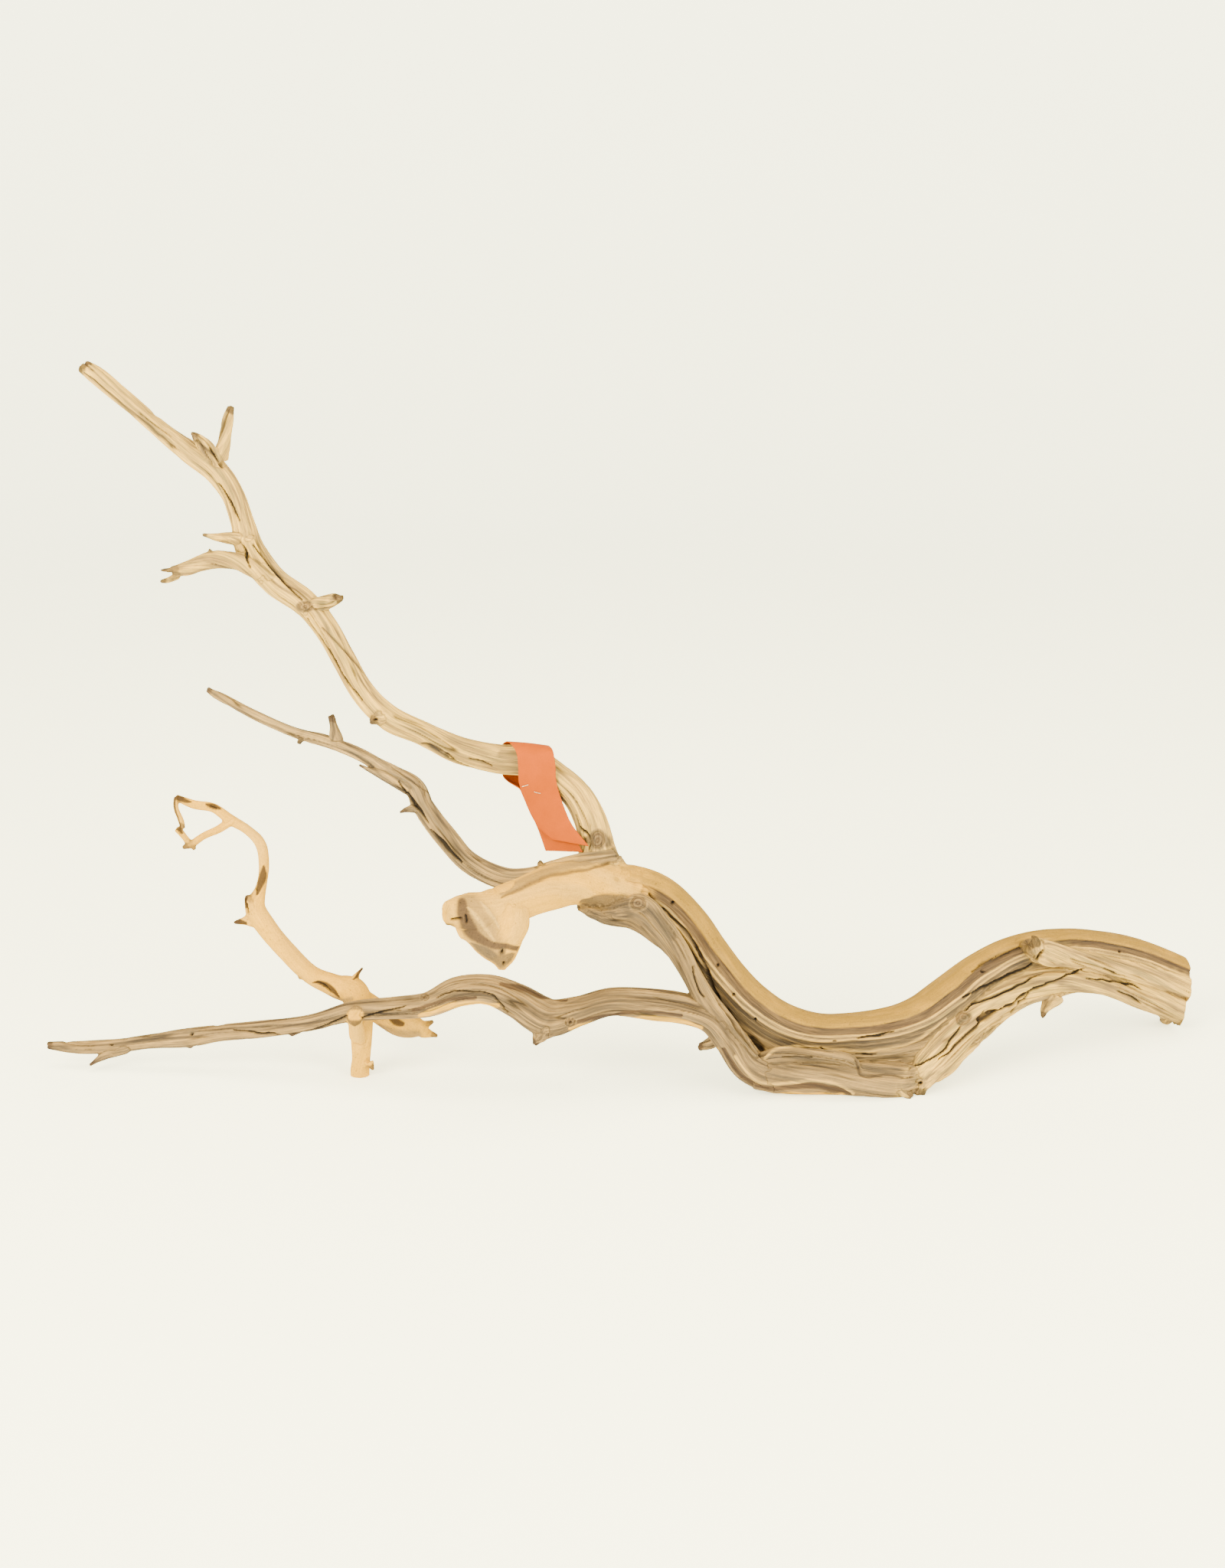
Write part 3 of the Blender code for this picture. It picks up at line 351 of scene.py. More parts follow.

# Marks that show from the front: limbs, kind, and one or more paths, each of places in the
# camera's frame with half the mark's width there, all in pixels of FRAME_SIZE
# Cracks, grooves, recesses and holes among them are dented, and darkened with painted shade
MARKS = (
    ("trunk", "recess", ((1270, 1268, 2), (1285, 1258, 5), (1310, 1246, 5), (1340, 1235, 3))),
    ("trunk", "crack", ((1120, 1355, 1.5), (1145, 1352, 2), (1167, 1347, 1.5))),
    ("trunk rope", "crack", ((1258, 1302, 1.5), (1280, 1292, 2.5), (1300, 1282, 2.5), (1320, 1273, 2.5),
      (1340, 1265, 2.5), (1355, 1252, 2))),
    (FOOT_LIMBS, "recess", ((962, 1345, 4), (978, 1362, 12), (992, 1372, 10))),
    (FOOT_LIMBS, "crest", ((1000, 1382, 3), (1010, 1372, 3), (1030, 1368, 3), (1060, 1367, 3),
      (1100, 1372, 3), (1130, 1373, 3), (1160, 1370, 3), (1190, 1362, 3), (1210, 1350, 3),
      (1235, 1330, 2))),
    (FOOT_LIMBS, "crack",
     ((1022, 1381, 1), (1042, 1381, 2), (1062, 1381, 1)),
     ((1070, 1368, 1), (1080, 1372, 2), (1090, 1373, 1)),
     ((1118, 1377, 1), (1131, 1377, 2), (1145, 1377, 1))),
    (FOOT_LIMBS, "groove", ((1118, 1385, 3), (1122, 1397, 3), (1126, 1404, 3), (1145, 1405, 3),
      (1160, 1404, 3), (1180, 1408, 2))),
    ("lower low", "crest", ((960, 1380, 3), (975, 1400, 3), (990, 1412, 3), (1010, 1415, 3),
      (1040, 1414, 3), (1060, 1411, 3), (1085, 1414, 3), (1100, 1419, 3), (1115, 1427, 2))),
    ("lower low", "band", ((945, 1370, 4), (960, 1395, 4), (975, 1410, 4), (1000, 1421, 4),
      (1030, 1421, 4), (1055, 1418, 4), (1080, 1421, 4), (1110, 1428, 3))),
    ("lower low", "smooth", ((935, 1372, 5), (950, 1400, 5), (970, 1420, 5), (1000, 1430, 4),
      (1040, 1430, 4), (1100, 1430, 3))),
    ("trunk inner", "recess", ((845, 1166, 1), (860, 1180, 1.5), (880, 1200, 2), (900, 1222, 2.5),
      (917, 1252, 3), (928, 1283, 3), (940, 1310, 3.5), (950, 1322, 4), (965, 1345, 5), (985, 1368, 5),
      (995, 1379, 3))),
    ("inner", "crack", ((905, 1262, 1.5), (912, 1290, 2), (920, 1302, 1.5))),
    ("rope", "crack",
     ((1185, 1393, 1), (1205, 1388, 2), (1225, 1378, 2), (1240, 1362, 2), (1250, 1348, 2),
      (1257, 1337, 1)),
     ((1225, 1385, 1), (1245, 1368, 2), (1262, 1352, 2), (1278, 1338, 2), (1285, 1320, 1)),
     ((1260, 1320, 1), (1270, 1310, 2.5), (1285, 1305, 2.5), (1300, 1300, 2.5), (1330, 1287, 2.5),
      (1350, 1275, 2), (1362, 1270, 1)),
     ((1290, 1325, 1), (1320, 1312, 2), (1335, 1300, 2.5), (1350, 1292, 2.5), (1380, 1280, 2),
      (1400, 1270, 2), (1420, 1265, 1)),
     ((1320, 1322, 1), (1332, 1308, 1.5), (1345, 1297, 1)),
     ((1420, 1277, 1), (1450, 1280, 2), (1475, 1285, 2), (1490, 1292, 1)),
     ((1440, 1265, 1), (1455, 1270, 1.5), (1470, 1275, 1)),
     ((1460, 1295, 1), (1480, 1305, 2), (1490, 1312, 1))),
    ("rope trunk", "recess",
     ((1278, 1332, 3), (1290, 1327, 7), (1302, 1320, 3)),
     ((1350, 1258, 1), (1356, 1249, 3), (1362, 1240, 1))),
    ("inner arm trunk", "trough", ((762, 1180, 6), (790, 1178, 12), (812, 1180, 14), (850, 1190, 10),
      (880, 1222, 8))),
    (LEDGE_LIMBS, "tanned", ((800, 1120, 4), (765, 1126, 7), (735, 1131, 9), (705, 1141, 9),
      (680, 1153, 8), (655, 1166, 5))),
    (LEDGE_LIMBS, "fold", ((795, 1127, 3), (765, 1135, 4), (740, 1139, 5), (715, 1145, 5),
      (690, 1155, 5), (665, 1167, 4), (655, 1172, 2))),
    ("knuckle arm", "tanned", ((612, 1182, 22), (622, 1200, 30), (630, 1218, 30), (642, 1236, 26))),
    ("knuckle arm", "band", ((604, 1178, 8), (606, 1196, 12), (612, 1212, 12), (622, 1224, 9),
      (640, 1234, 7), (660, 1236, 5), (680, 1240, 4))),
    ("knuckle arm", "trough", ((614, 1238, 8), (634, 1248, 12), (652, 1258, 12), (670, 1250, 8))),
    ("knuckle arm", "crest",
     ((612, 1185, 2), (622, 1196, 5), (632, 1210, 5), (646, 1228, 2)),
     ((628, 1178, 2), (640, 1192, 4), (652, 1212, 2))),
    ("knuckle arm", "crack", ((609, 1195, 1.5), (610, 1200, 2.5), (609, 1206, 1.5))),
    ("knuckle arm", "recess", ((586, 1200, 1), (592, 1201, 3), (602, 1200, 2))),
    ("upper", "groove", ((110, 487, 2), (150, 520, 3), (190, 553, 3), (228, 585, 2))),
    ("upper", "crack", ((275, 585, 1), (279, 592, 2.5), (283, 600, 1))),
    ("upper", "groove", ((250, 575, 2), (272, 588, 3), (290, 610, 2))),
    ("upper", "crack",
     ((285, 632, 1), (300, 655, 2), (313, 680, 1)),
     ((318, 712, 1), (323, 727, 2.5), (327, 742, 1)),
     ((330, 712, 1), (350, 735, 2.5), (372, 760, 2.5), (395, 783, 1))),
    ("upper", "groove", ((420, 820, 2), (450, 850, 3), (478, 880, 3), (500, 905, 2))),
    ("upper", "crack", ((402, 808, 1), (428, 848, 1.5), (450, 885, 1.5), (472, 915, 1))),
    ("upper", "trough", ((545, 975, 3), (562, 977, 7), (585, 987, 3))),
    ("upper", "recess", ((548, 975, 1), (560, 976, 3), (576, 982, 1))),
    ("upper", "crack",
     ((582, 985, 1), (600, 996, 1.5), (620, 1004, 1)),
     ((612, 990, 1), (628, 994, 1.5), (642, 1001, 1))),
    ("upper", "tanned", ((655, 985, 8), (668, 988, 12), (678, 992, 12))),
    ("upper arm", "trough", ((765, 1098, 6), (780, 1097, 13), (795, 1100, 10))),
    ("upper arm", "crack", ((752, 1065, 1), (758, 1080, 2), (768, 1092, 2), (769, 1110, 1.5))),
    ("middle", "crack",
     ((562, 1083, 1), (575, 1098, 4), (590, 1115, 4), (602, 1127, 1)),
     ((520, 1020, 1), (532, 1038, 3), (548, 1058, 3), (560, 1075, 1))),
    ("middle", "groove", ((512, 1002, 1), (535, 1017, 2.5), (560, 1035, 1))),
    ("low", "band", ((655, 1285, 3), (685, 1292, 5), (710, 1301, 5), (740, 1305, 3))),
    ("low", "crack", ((570, 1303, 1), (585, 1297, 1.5), (600, 1293, 1.5), (640, 1298, 1.5),
      (650, 1308, 1.5), (662, 1322, 1))),
    ("low", "smooth", ((745, 1343, 3), (780, 1337, 4), (830, 1331, 4), (880, 1333, 4), (915, 1343, 3))),
    ("crossing leg low", "smooth", ((460, 1326, 8), (468, 1326, 8))),
    ("low", "smooth", ((548, 1326, 3), (580, 1316, 4), (620, 1310, 4), (650, 1314, 3))),
    ("low", "band",
     ((540, 1320, 3), (575, 1309, 3), (620, 1303, 3)),
     ((750, 1336, 2), (790, 1328, 3), (840, 1322, 3), (890, 1326, 3))),
    ("low", "crack",
     ((305, 1345, 1), (340, 1349, 2), (375, 1352, 1)),
     ((385, 1352, 1), (420, 1342, 2), (455, 1326, 1)),
     ((470, 1331, 1), (500, 1322, 2), (530, 1314, 1))),
    ("crossing", "scar", ((270, 1050, 2), (279, 1053, 5.5), (288, 1056, 2))),
    ("crossing", "crack", ((275, 1052, 0.5), (279, 1053, 1.5), (284, 1055, 0.5))),
    ("crossing", "scar", ((345, 1132, 2), (343, 1142, 6.5), (340, 1154, 6.5), (335, 1168, 2))),
    ("crossing", "crack", ((338, 1141, 1), (334, 1152, 1.5), (334, 1164, 1))),
    ("crossing", "scar", ((409, 1283, 1), (420, 1284, 4.5), (430, 1289, 5), (443, 1303, 1.5))),
    ("crossing", "crack", ((412, 1282, 0.5), (422, 1285, 1.5), (432, 1294, 0.5))),
    ("crossing", "scar",
     ((303, 1206, 4), (313, 1205, 5), (321, 1207, 3)),
     ((226, 1040, 5), (238, 1044, 4), (250, 1047, 1)),
     ((462, 1280, 1), (468, 1274, 4), (472, 1264, 5)),
     ((322, 1168, 2), (320, 1176, 2.5), (319, 1186, 2)),
     ((226, 1046, 4), (228, 1062, 4.5), (232, 1078, 4.5), (238, 1088, 2))),
    ("crossing", "hole",
     ((321, 1180, 1.5), (322, 1186, 2), (323, 1192, 1.5)),
     ((320, 1173, 1), (321, 1176, 1.5))),
    ("crossing", "tanned", ((430, 1303, 5), (445, 1308, 6), (458, 1304, 4))),
    ("heel crossing", "scar",
     ((511, 1332, 4), (518, 1335, 6), (526, 1338, 4)),
     ((515, 1356, 2), (535, 1360, 4), (560, 1362, 4))),
    ("heel crossing", "tanned", ((495, 1340, 5), (520, 1350, 8), (545, 1352, 8))),
)

# Round marks in the same pixels: limbs, kind, place, half width, half height
# The holes among them are dented, and darkened with painted shade
SPOTS = (
    (FACE_LIMBS, "hole", 879, 1179, 2.5, 3.0),
    (FACE_LIMBS, "hole", 938, 1261, 2.5, 3.0),
    (FACE_LIMBS, "hole", 958, 1299, 2.5, 3.0),
    (FACE_LIMBS, "hole", 986, 1331, 2.5, 3.0),
    (FACE_LIMBS, "hole", 1090, 1360, 3.0, 2.5),
    (FACE_LIMBS, "hole", 1463, 1243, 2.5, 2.0),
    (FACE_LIMBS, "hole", 1203, 1415, 3.0, 3.0),
    (FACE_LIMBS, "hole", 1284, 1269, 4.0, 1.8),
    ("knuckle arm", "trough", 656, 1244, 6.0, 8.0),
    ("knuckle arm", "hole", 656, 1244, 2.0, 4.0),
    ("knuckle arm", "hole", 659, 1260, 3.0, 3.0),
    ("upper", "greenish", 420, 788, 11.0, 9.0),
    ("upper", "hole", 490, 940, 4.0, 3.0),
    ("low", "hole", 745, 1335, 3.0, 2.5),
    ("low", "hole", 250, 1350, 3.0, 2.5),
    ("low", "hole", 555, 1303, 3.0, 2.5),
    ("low", "hole", 145, 1364, 2.5, 2.0),
)

# Knots with rings round them: limbs, place, half width, half height in the same pixels
KNOTS = (
    ("inner", 833, 1180, 14.0, 14.0),
    ("rope trunk", 1258, 1330, 13.0, 12.0),
    ("upper", 398, 792, 13.0, 9.0),
    ("upper arm", 781, 1097, 14.0, 16.0),
    ("low", 745, 1335, 9.0, 7.0),
    ("low", 555, 1303, 8.0, 6.0),
)

# Limbs without a weathered end, and how the other ends are browned
WHOLE_ENDS = ("trunk", "arm", "knuckle", "leg", "lower", "inner", "heel")
TIP_LENGTH = 5.0             # mm of a broken end that has weathered brown
TIP_SHARE = 0.85
TIP_RAG = 3.5                # mm by which the brown's edge strays
TIP_EDGE = 1.5               # mm over which it fades in
TIP_RADII = (6.0, 8.0)       # thicker ends fade out between these radii

# Knots: rings from the middle to the edge, and the groove round the heart
KNOT_RINGS = 3.0
KNOT_EDGE = (0.85, 1.0)
KNOT_CORE = (0.5, 0.65)
KNOT_SWELL = 1.0
KNOT_SHARE = 0.9
RING_HEIGHT = 0.4
GROOVE_PLACE = 0.68
GROOVE_WIDTH = 0.14
GROOVE_DEPTH = 1.4
GROOVE_SHARE = 0.8

# How marks are laid on the skin
MARK_STEP = 3.0              # pixels between the places where a mark's path is read
MARK_WANDER = 1.2            # pixels by which marks stray from their paths
MARK_STRAY_PITCH = 9.0
MARK_STRAY_SHIFT = 31.0
FACING = (0.08, 0.35)        # how squarely a point faces the camera, from unmarked to marked

# The card band: both edges of its strip, from the front tail's end to the back tail's
CARD_EDGES = (
    ((-41, -30, 170), (-16, -41, 168.5)), ((-51.5, -24, 179), (-27.5, -32, 181)),
    ((-59, -21, 193.5), (-34, -27, 195)), ((-63.5, -21.5, 208), (-38, -26, 209)),
    ((-64, -21, 218), (-38.5, -25.5, 220.5)), ((-65, -18, 227.5), (-40, -22, 229)),
    ((-69, -12, 232.5), (-41.5, -15, 230.5)), ((-73, -5, 233), (-44, -7, 230)),
    ((-76, 8, 229), (-47.5, 6, 220)), ((-77, 15, 217), (-50, 10, 208)),
    ((-76, 11, 205.5), (-50, 5, 194.5)), ((-70, -5, 203.5), (-44, -9, 189.5)),
    ((-63.5, -19.2, 203), (-38, -24, 191)), ((-58.5, -18.6, 191), (-33.5, -25.5, 185.5)),
    ((-52, -21, 177.5), (-28, -30, 177.5)), ((-45.5, -26, 161), (-20, -38, 163.5)),
)
CARD_THICKNESS = 0.6
CARD_STEP = 1.0              # mm between rows along the strip
CARD_ACROSS = 15             # points across the strip
CARD_BOW = 0.4               # mm by which the strip bends across its width
CARD_EDGE = 0.3 * CARD_THICKNESS      # how far its edges are rounded
CARD_ORANGE = np.array([0.25, 0.044, 0.0003])
# Each staple: the middle of its crown, and its tilt in radians
STAPLES = {"staple_left": (-59.2, -23.3, 206.1, -0.3), "staple_right": (-50.9, -25.0, 201.6, 0.25)}
STAPLE_WIRE = 0.42
# Half of a staple's wire, from its folded end to the middle of its crown: (across, back)
STAPLE_HALF = (
    (0.3, 3.6), (1.125, 3.9), (1.75, 3.6), (2.1, 3.2), (2.15, 0.5), (2.05, 0.12), (1.65, 0.0),
    (0.0, -0.05),
)
STAPLE_SIDES = 12
STAPLE_STEP = 0.15
ROUND = (3, 0.0, 0.0)

# Grain lines: how noise becomes ridges, and how colour follows them
SEED_SHIFT = 17.3
RIDGE_GAIN = 3.2
RIDGE_TOP = 1.2
WIDE_SHARE = 0.55
RIDGE_COLOURS = (0.05, 0.75)
SHORTEST_TURN = 60.0         # mm along which the grain makes its turns at least
GRAIN_SHIFT = 60.0           # mm between the grain of one limb and the next
PATCH_PITCH = np.array([14.0, 14.0, 55.0])
PATCH_EDGES = (-0.15, 0.35)
PATCH_SHARE = 0.45
PALE_FIBRE = 0.22            # how much of the fibre lines the smooth wood shows

# Cracks along the grain: dented, and darkened with painted shade
CRACK_PITCH = np.array([5.5, 5.5, 90.0])
CRACK_PATCH = np.array([9.0, 9.0, 45.0])
CRACK_SEED = 5.1
CRACK_SHIFT = 40.0
CRACK_PATCH_SHIFT = 91.0
CRACKED_FROM = 0.62
CRACKED_TO = 0.78
CRACK_WIDTH = 0.07
CRACK_SHARE = 0.8

# The trunk's smooth rim
RIM_EDGE = (7.7, 8.3)        # mm from the outer edge where the rim ends
RIM_WANDER = 0.9
RIM_WANDER_PITCH = np.array([60.0, 60.0, 25.0])
RIM_WAVE = 0.30
RIM_WAVE_PITCH = np.array([12.0, 12.0, 30.0])
RIM_LINES = 0.14
RIM_LINE_PITCH = 3.2
RIM_LINE_STRETCH = 18.0
RIM_SEED = 21
RIM_SHADE_PITCH = np.array([8.0, 8.0, 16.0])
RIM_STREAK_PITCH = np.array([2.4, 2.4, 46.0])
RIM_STREAK_SHIFT = 7.0
WORN_FRONT = 0.25            # how much the streaks show in front, and how much more behind
WORN_BACK = 0.5
BAND_SHARE = 0.85
BANDS_END = (25.0, 32.0)

# The wood's material: the scale of each noise across and along the grain, per mm, and for
# most of them the two values that it is read between and the two that they become
STRAND_SCALE = (0.42, 0.42, 0.012)
THREAD_SCALE = (1.1, 1.1, 0.05)
HAIR_SCALE = (3.2, 3.2, 0.16)
GRIT_SCALE = (0.9, 0.9, 0.9)
GRIT_ROUGHNESS = 0.7
STRAND_SHADE = (0.36, 0.62, 0.62, 1.16)
THREAD_SHADE = (0.35, 0.65, 0.62, 1.18)
HAIR_SHADE = (0.3, 0.7, 0.86, 1.10)
HAIR_TOUCH = (0.3, 0.7, 0.95, 1.03)
GRIT_SHADE = (0.3, 0.70, 0.66, 1.13)
PIT_SCALE = 0.42
PIT_SHAPE = (0.10, 0.22, 1.0, 0.0)
PIT_PATCH_SCALE = (0.11, 0.11, 0.11)
PIT_PATCHES = (0.46, 0.58, 0.0, 1.0)
PIT_DARKNESS = 0.45
PIT_DEPTH = 0.8
STAIN_SCALE = 0.77
DARK_STAIN = (0.36, 0.42, 0.62)       # what the darkest fibres do to the wood's colour
LIGHT_STAIN = (1.28, 1.24, 1.08)      # and the lightest
WOOD_ROUGHNESS = (0.3, 0.7, 0.92, 0.74)
WOOD_BUMP = 0.9
WOOD_BUMP_DEPTH = 0.6 * MM
MATTE = 0.03

# The materials of the card and the wire, in the same way but with scales per metre
CARD_MOTTLE = (90.0, 90.0, 90.0)
CARD_FIBRES = (1500.0, 1500.0, 700.0)
CARD_SHADE = (0.3, 0.7, 0.94, 1.04)
CARD_ROUGHNESS = (0.3, 0.7, 0.50, 0.64)
CARD_BUMP = 0.25
CARD_BUMP_DEPTH = 0.1 * MM
STEEL = (0.50, 0.49, 0.48, 1.0)
STEEL_ROUGHNESS = (0.3, 0.7, 0.22, 0.42)
WIRE_RUBBING = (900.0, 900.0, 900.0)

# Stage, in metres
FLOOR_RADIUS = 3.0
COVE = 1.2
COVE_STEPS = 15
WALL_TOP = 1.9
FLOOR_SIDES = 96
FLOOR_MOTTLE = (3.0, 3.0, 3.0)
FLOOR_SHADE = (0.80, 0.84, 0.93)
FLOOR_LIGHT = (0.84, 0.88, 0.97)
FLOOR_GLOW = (1.0, 0.97, 0.62, 1.0)
GLOW_STRENGTH = 1.6
WARM_LIGHT = (1.0, 0.88, 0.47)
ROOM_STRENGTH = 1.6
LAMP_TARGET = Vector((0.0, 0.0, 0.15))
# Each lamp: name, place, width, height, watts
LAMPS = (
    ("soft_left", (-1.6, -2.1, 1.5), 1.6, 1.6, 310.0),
    ("soft_right", (1.9, -1.8, 1.3), 1.4, 1.4, 180.0),
    ("soft_top", (0.0, -0.2, 2.6), 2.4, 2.0, 140.0),
)


# Noise

_random = np.random.default_rng(NOISE_SEED)
SHUFFLED = np.tile(_random.permutation(256), 2)
SLOPES = _random.normal(size=(256, 3))
SLOPES /= np.linalg.norm(SLOPES, axis=1, keepdims=True)


def noise(points):
    """Smooth gradient noise at rows of (x, y, z), from about -0.7 to 0.7."""
    cell = np.floor(points).astype(np.int64)
    part = points - cell
    ease = part ** 3 * (part * (part * 6 - 15) + 10)
    total = np.zeros(len(points))
    for corner in np.ndindex(2, 2, 2):
        index = (cell + corner) & 255
        picked = SHUFFLED[SHUFFLED[SHUFFLED[index[:, 0]] + index[:, 1]] + index[:, 2]]
        weight = np.prod(np.where(np.array(corner) == 1, ease, 1 - ease), axis=1)
        total += weight * np.einsum("ij,ij->i", SLOPES[picked], part - corner)
    return total


def ease_between(low, high, value):
    """0 below low, 1 above high, and a smooth step between them."""
    share = np.clip((value - low) / (high - low), 0.0, 1.0)
    return share * share * (3 - 2 * share)


def mix(first, second, share):
    """Rows that go from the first to the second as the share goes from 0 to 1."""
    share = np.asarray(share)[:, None]
    return first * (1 - share) + second * share


# Limbs

def read_curve(rows, spacing):
    """Catmull-Rom curve through rows of numbers, read evenly along the first three."""
    rows = np.array(rows, dtype=float)
    ends = np.vstack([2 * rows[0] - rows[1], rows, 2 * rows[-1] - rows[-2]])
    ends[[0, -1], 3:] = rows[[0, -1], 3:]
    dense = []
    for a, b, c, d in zip(ends[:-3], ends[1:-2], ends[2:-1], ends[3:]):
        for t in np.linspace(0.0, 1.0, SPAN_READS, endpoint=False):
            dense.append(0.5 * (2 * b + (c - a) * t + (2 * a - 5 * b + 4 * c - d) * t ** 2
                                + (3 * b - a - 3 * c + d) * t ** 3))
    dense = np.array(dense + [rows[-1]])
    steps = np.linalg.norm(np.diff(dense[:, :3], axis=0), axis=1)
    along = np.concatenate([[0.0], np.cumsum(steps)])
    wanted = np.linspace(0.0, along[-1], max(FEWEST_RINGS, int(along[-1] / spacing) + 1))
    columns = [np.interp(wanted, along, dense[:, k]) for k in range(rows.shape[1])]
    return np.column_stack(columns), wanted


def ring_axes(centres):
    """Run, outward and front directions of every ring, square to each other."""
    run = np.gradient(centres, axis=0)
    run /= np.linalg.norm(run, axis=1, keepdims=True)
    front = FRONT - run * (run @ FRONT)[:, None]
    front /= np.linalg.norm(front, axis=1, keepdims=True)
    return run, np.cross(run, front), front


def flute_scale(angles, share, flutes):
    """How the radius swells and sinks round every ring."""
    count, depth, turns = flutes
    phase = angles[None, :] * count + 2 * math.pi * turns * share[:, None]
    swell = np.sin(2 * angles[None, :] + SWELL_TURN * share[:, None])
    return 1.0 + depth * (np.abs(np.sin(phase / 2)) - MEAN_FLUTE + SWELL_SHARE * swell)


def face_reach(reach, along):
    """Distance from the trunk's outer edge, stretched to the rim's width there."""
    return reach / np.interp(along, *zip(*FACE_WIDTHS))


def face_step(reach, along):
    """The part of its full depth that the trunk's front has at a distance from the outer edge."""
    return np.interp(face_reach(reach, along), *zip(*FACE_STEPS))


def tube_faces(rings, sides):
    """Quads between rings of points, and a face over each end."""
    ring = np.arange(sides)
    after = np.roll(ring, -1)
    start = np.arange(rings - 1)[:, None] * sides
    quads = np.stack([start + ring, start + after, start + sides + after, start + sides + ring], -1)
    faces = quads.reshape(-1, 4).tolist()
    faces.append(ring[::-1].tolist())
    faces.append((ring + (rings - 1) * sides).tolist())
    return faces


def tube(name, stations, flutes, sides, spacing=RING_SPACING):
    """Points and faces of one closed tube through the stations; the trunk's front is stepped."""
    rows, along = read_curve(stations, spacing)
    _, outward, front = ring_axes(rows[:, :3])
    angles = np.linspace(0.0, 2 * math.pi, sides, endpoint=False)
    scale = flute_scale(angles, along / along[-1], flutes)
    high = rows[:, 3:4] * np.cos(angles) * scale
    deep = rows[:, 4:5] * np.sin(angles) * scale
    if name == "trunk":
        steps = face_step(rows[:, 3:4] * (1 - np.cos(angles)), along[:, None])
        deep = np.where(np.sin(angles) > 0, deep * steps, deep)
    points = rows[:, None, :3] + high[..., None] * outward[:, None] + deep[..., None] * front[:, None]
    return points.reshape(-1, 3), tube_faces(len(rows), sides)


def nearest_reading(points, coarse):
    """The number of the coarse reading that is nearest to every point."""
    nearest = np.empty(len(points), dtype=int)
    for start in range(0, len(points), BATCH):
        part = points[start:start + BATCH]
        apart = ((part[:, None] - coarse[None]) ** 2).sum(-1)
        nearest[start:start + BATCH] = apart.argmin(1)
    return nearest


def place_on(stations, faced, points):
    """Where points lie on a limb: along it, angle round it, its radius there, distance outside it
    and distance from its outer edge."""
    rows, along = read_curve(stations, LINE_STEP)
    axes = np.hstack([rows, *ring_axes(rows[:, :3])])

    def read(at, columns):
        return np.column_stack([np.interp(at, along, axes[:, k]) for k in columns])

    at = along[::COARSE_STEP][nearest_reading(points, rows[::COARSE_STEP, :3])]
    for _ in range(PLACE_ROUNDS):
        here = read(at, (0, 1, 2, 5, 6, 7))
        step = np.einsum("ij,ij->i", points - here[:, :3], here[:, 3:])
        at = np.clip(at + step, 0.0, along[-1])
    here = read(at, range(axes.shape[1]))
    away = points - here[:, :3]
    past = np.einsum("ij,ij->i", away, here[:, 5:8])
    high = np.einsum("ij,ij->i", away, here[:, 8:11]) / here[:, 3]
    deep = np.einsum("ij,ij->i", away, here[:, 11:14]) / here[:, 4]
    angle = np.arctan2(deep, high)
    if faced:
        reach = here[:, 3] * (1 - np.clip(high, -1, 1))
        deep = np.where(deep > 0, deep / face_step(reach, at), deep)
    radius = (here[:, 3] + here[:, 4]) / 2
    outside = (np.sqrt(high ** 2 + deep ** 2 + (past / radius) ** 2) - 1) * radius
    return at, angle, radius, outside, here[:, 3] * (1 - high)


# The grown skin

def new_object(name, mesh):
    """An object in the scene that shows a mesh."""
    made = bpy.data.objects.new(name, mesh)
    bpy.context.collection.objects.link(made)
    return made


def evaluated_mesh(obj):
    """The mesh of an object after its modifiers."""
    bpy.context.view_layer.update()
    graph = bpy.context.evaluated_depsgraph_get()
    return bpy.data.meshes.new_from_object(obj.evaluated_get(graph))


def grown_skin():
    """Joins all the tubes into one fine skin; gives its mesh, in metres."""
    points, faces = [], []
    count = 0
    for name, _, stations, flutes, sides in GROWTH:
        limb_points, limb_faces = tube(name, stations, flutes, sides)
        points.append(limb_points)
        faces += [[corner + count for corner in face] for face in limb_faces]
        count += len(limb_points)
    mesh = bpy.data.meshes.new("tubes")
    mesh.from_pydata((np.vstack(points) * MM).tolist(), [], faces)
    obj = new_object("tubes", mesh)
    join = obj.modifiers.new("join", "REMESH")
    join.mode = "VOXEL"
    join.voxel_size = JOIN_VOXEL * MM
    relax = obj.modifiers.new("relax", "SMOOTH")
    relax.factor = 0.5
    relax.iterations = 2
    skin = evaluated_mesh(obj)
    bpy.data.objects.remove(obj, do_unlink=True)
    return skin


def mesh_points(mesh):
    """A mesh's points in mm."""
    flat = np.empty(len(mesh.vertices) * 3)
    mesh.vertices.foreach_get("co", flat)
    return flat.reshape(-1, 3) / MM


def set_mesh_points(mesh, points):
    mesh.vertices.foreach_set("co", (points * MM).ravel())
    mesh.update()


def mesh_normals(mesh):
    flat = np.empty(len(mesh.vertices) * 3)
    mesh.vertex_normals.foreach_get("vector", flat)
    return flat.reshape(-1, 3)


def mesh_quads(mesh):
    """The four corners of every face of a mesh that has only quads."""
    flat = np.empty(len(mesh.polygons) * 4, dtype=int)
    mesh.loops.foreach_get("vertex_index", flat)
    return flat.reshape(-1, 4)


def seen_at(points):
    """Where points show in the camera's frame, in its pixels from the top left."""
    up, away = math.cos(VIEW_ELEVATION), math.sin(VIEW_ELEVATION)
    off = points - VIEW_TARGET
    depth = VIEW_DISTANCE + off[:, 1] * up - off[:, 2] * away
    pixels = LENS / SENSOR * max(FRAME_SIZE)
    across = FRAME_SIZE[0] / 2 + pixels * off[:, 0] / depth
    down = FRAME_SIZE[1] / 2 - pixels * (off[:, 1] * away + off[:, 2] * up) / depth
    return np.column_stack([across, down])


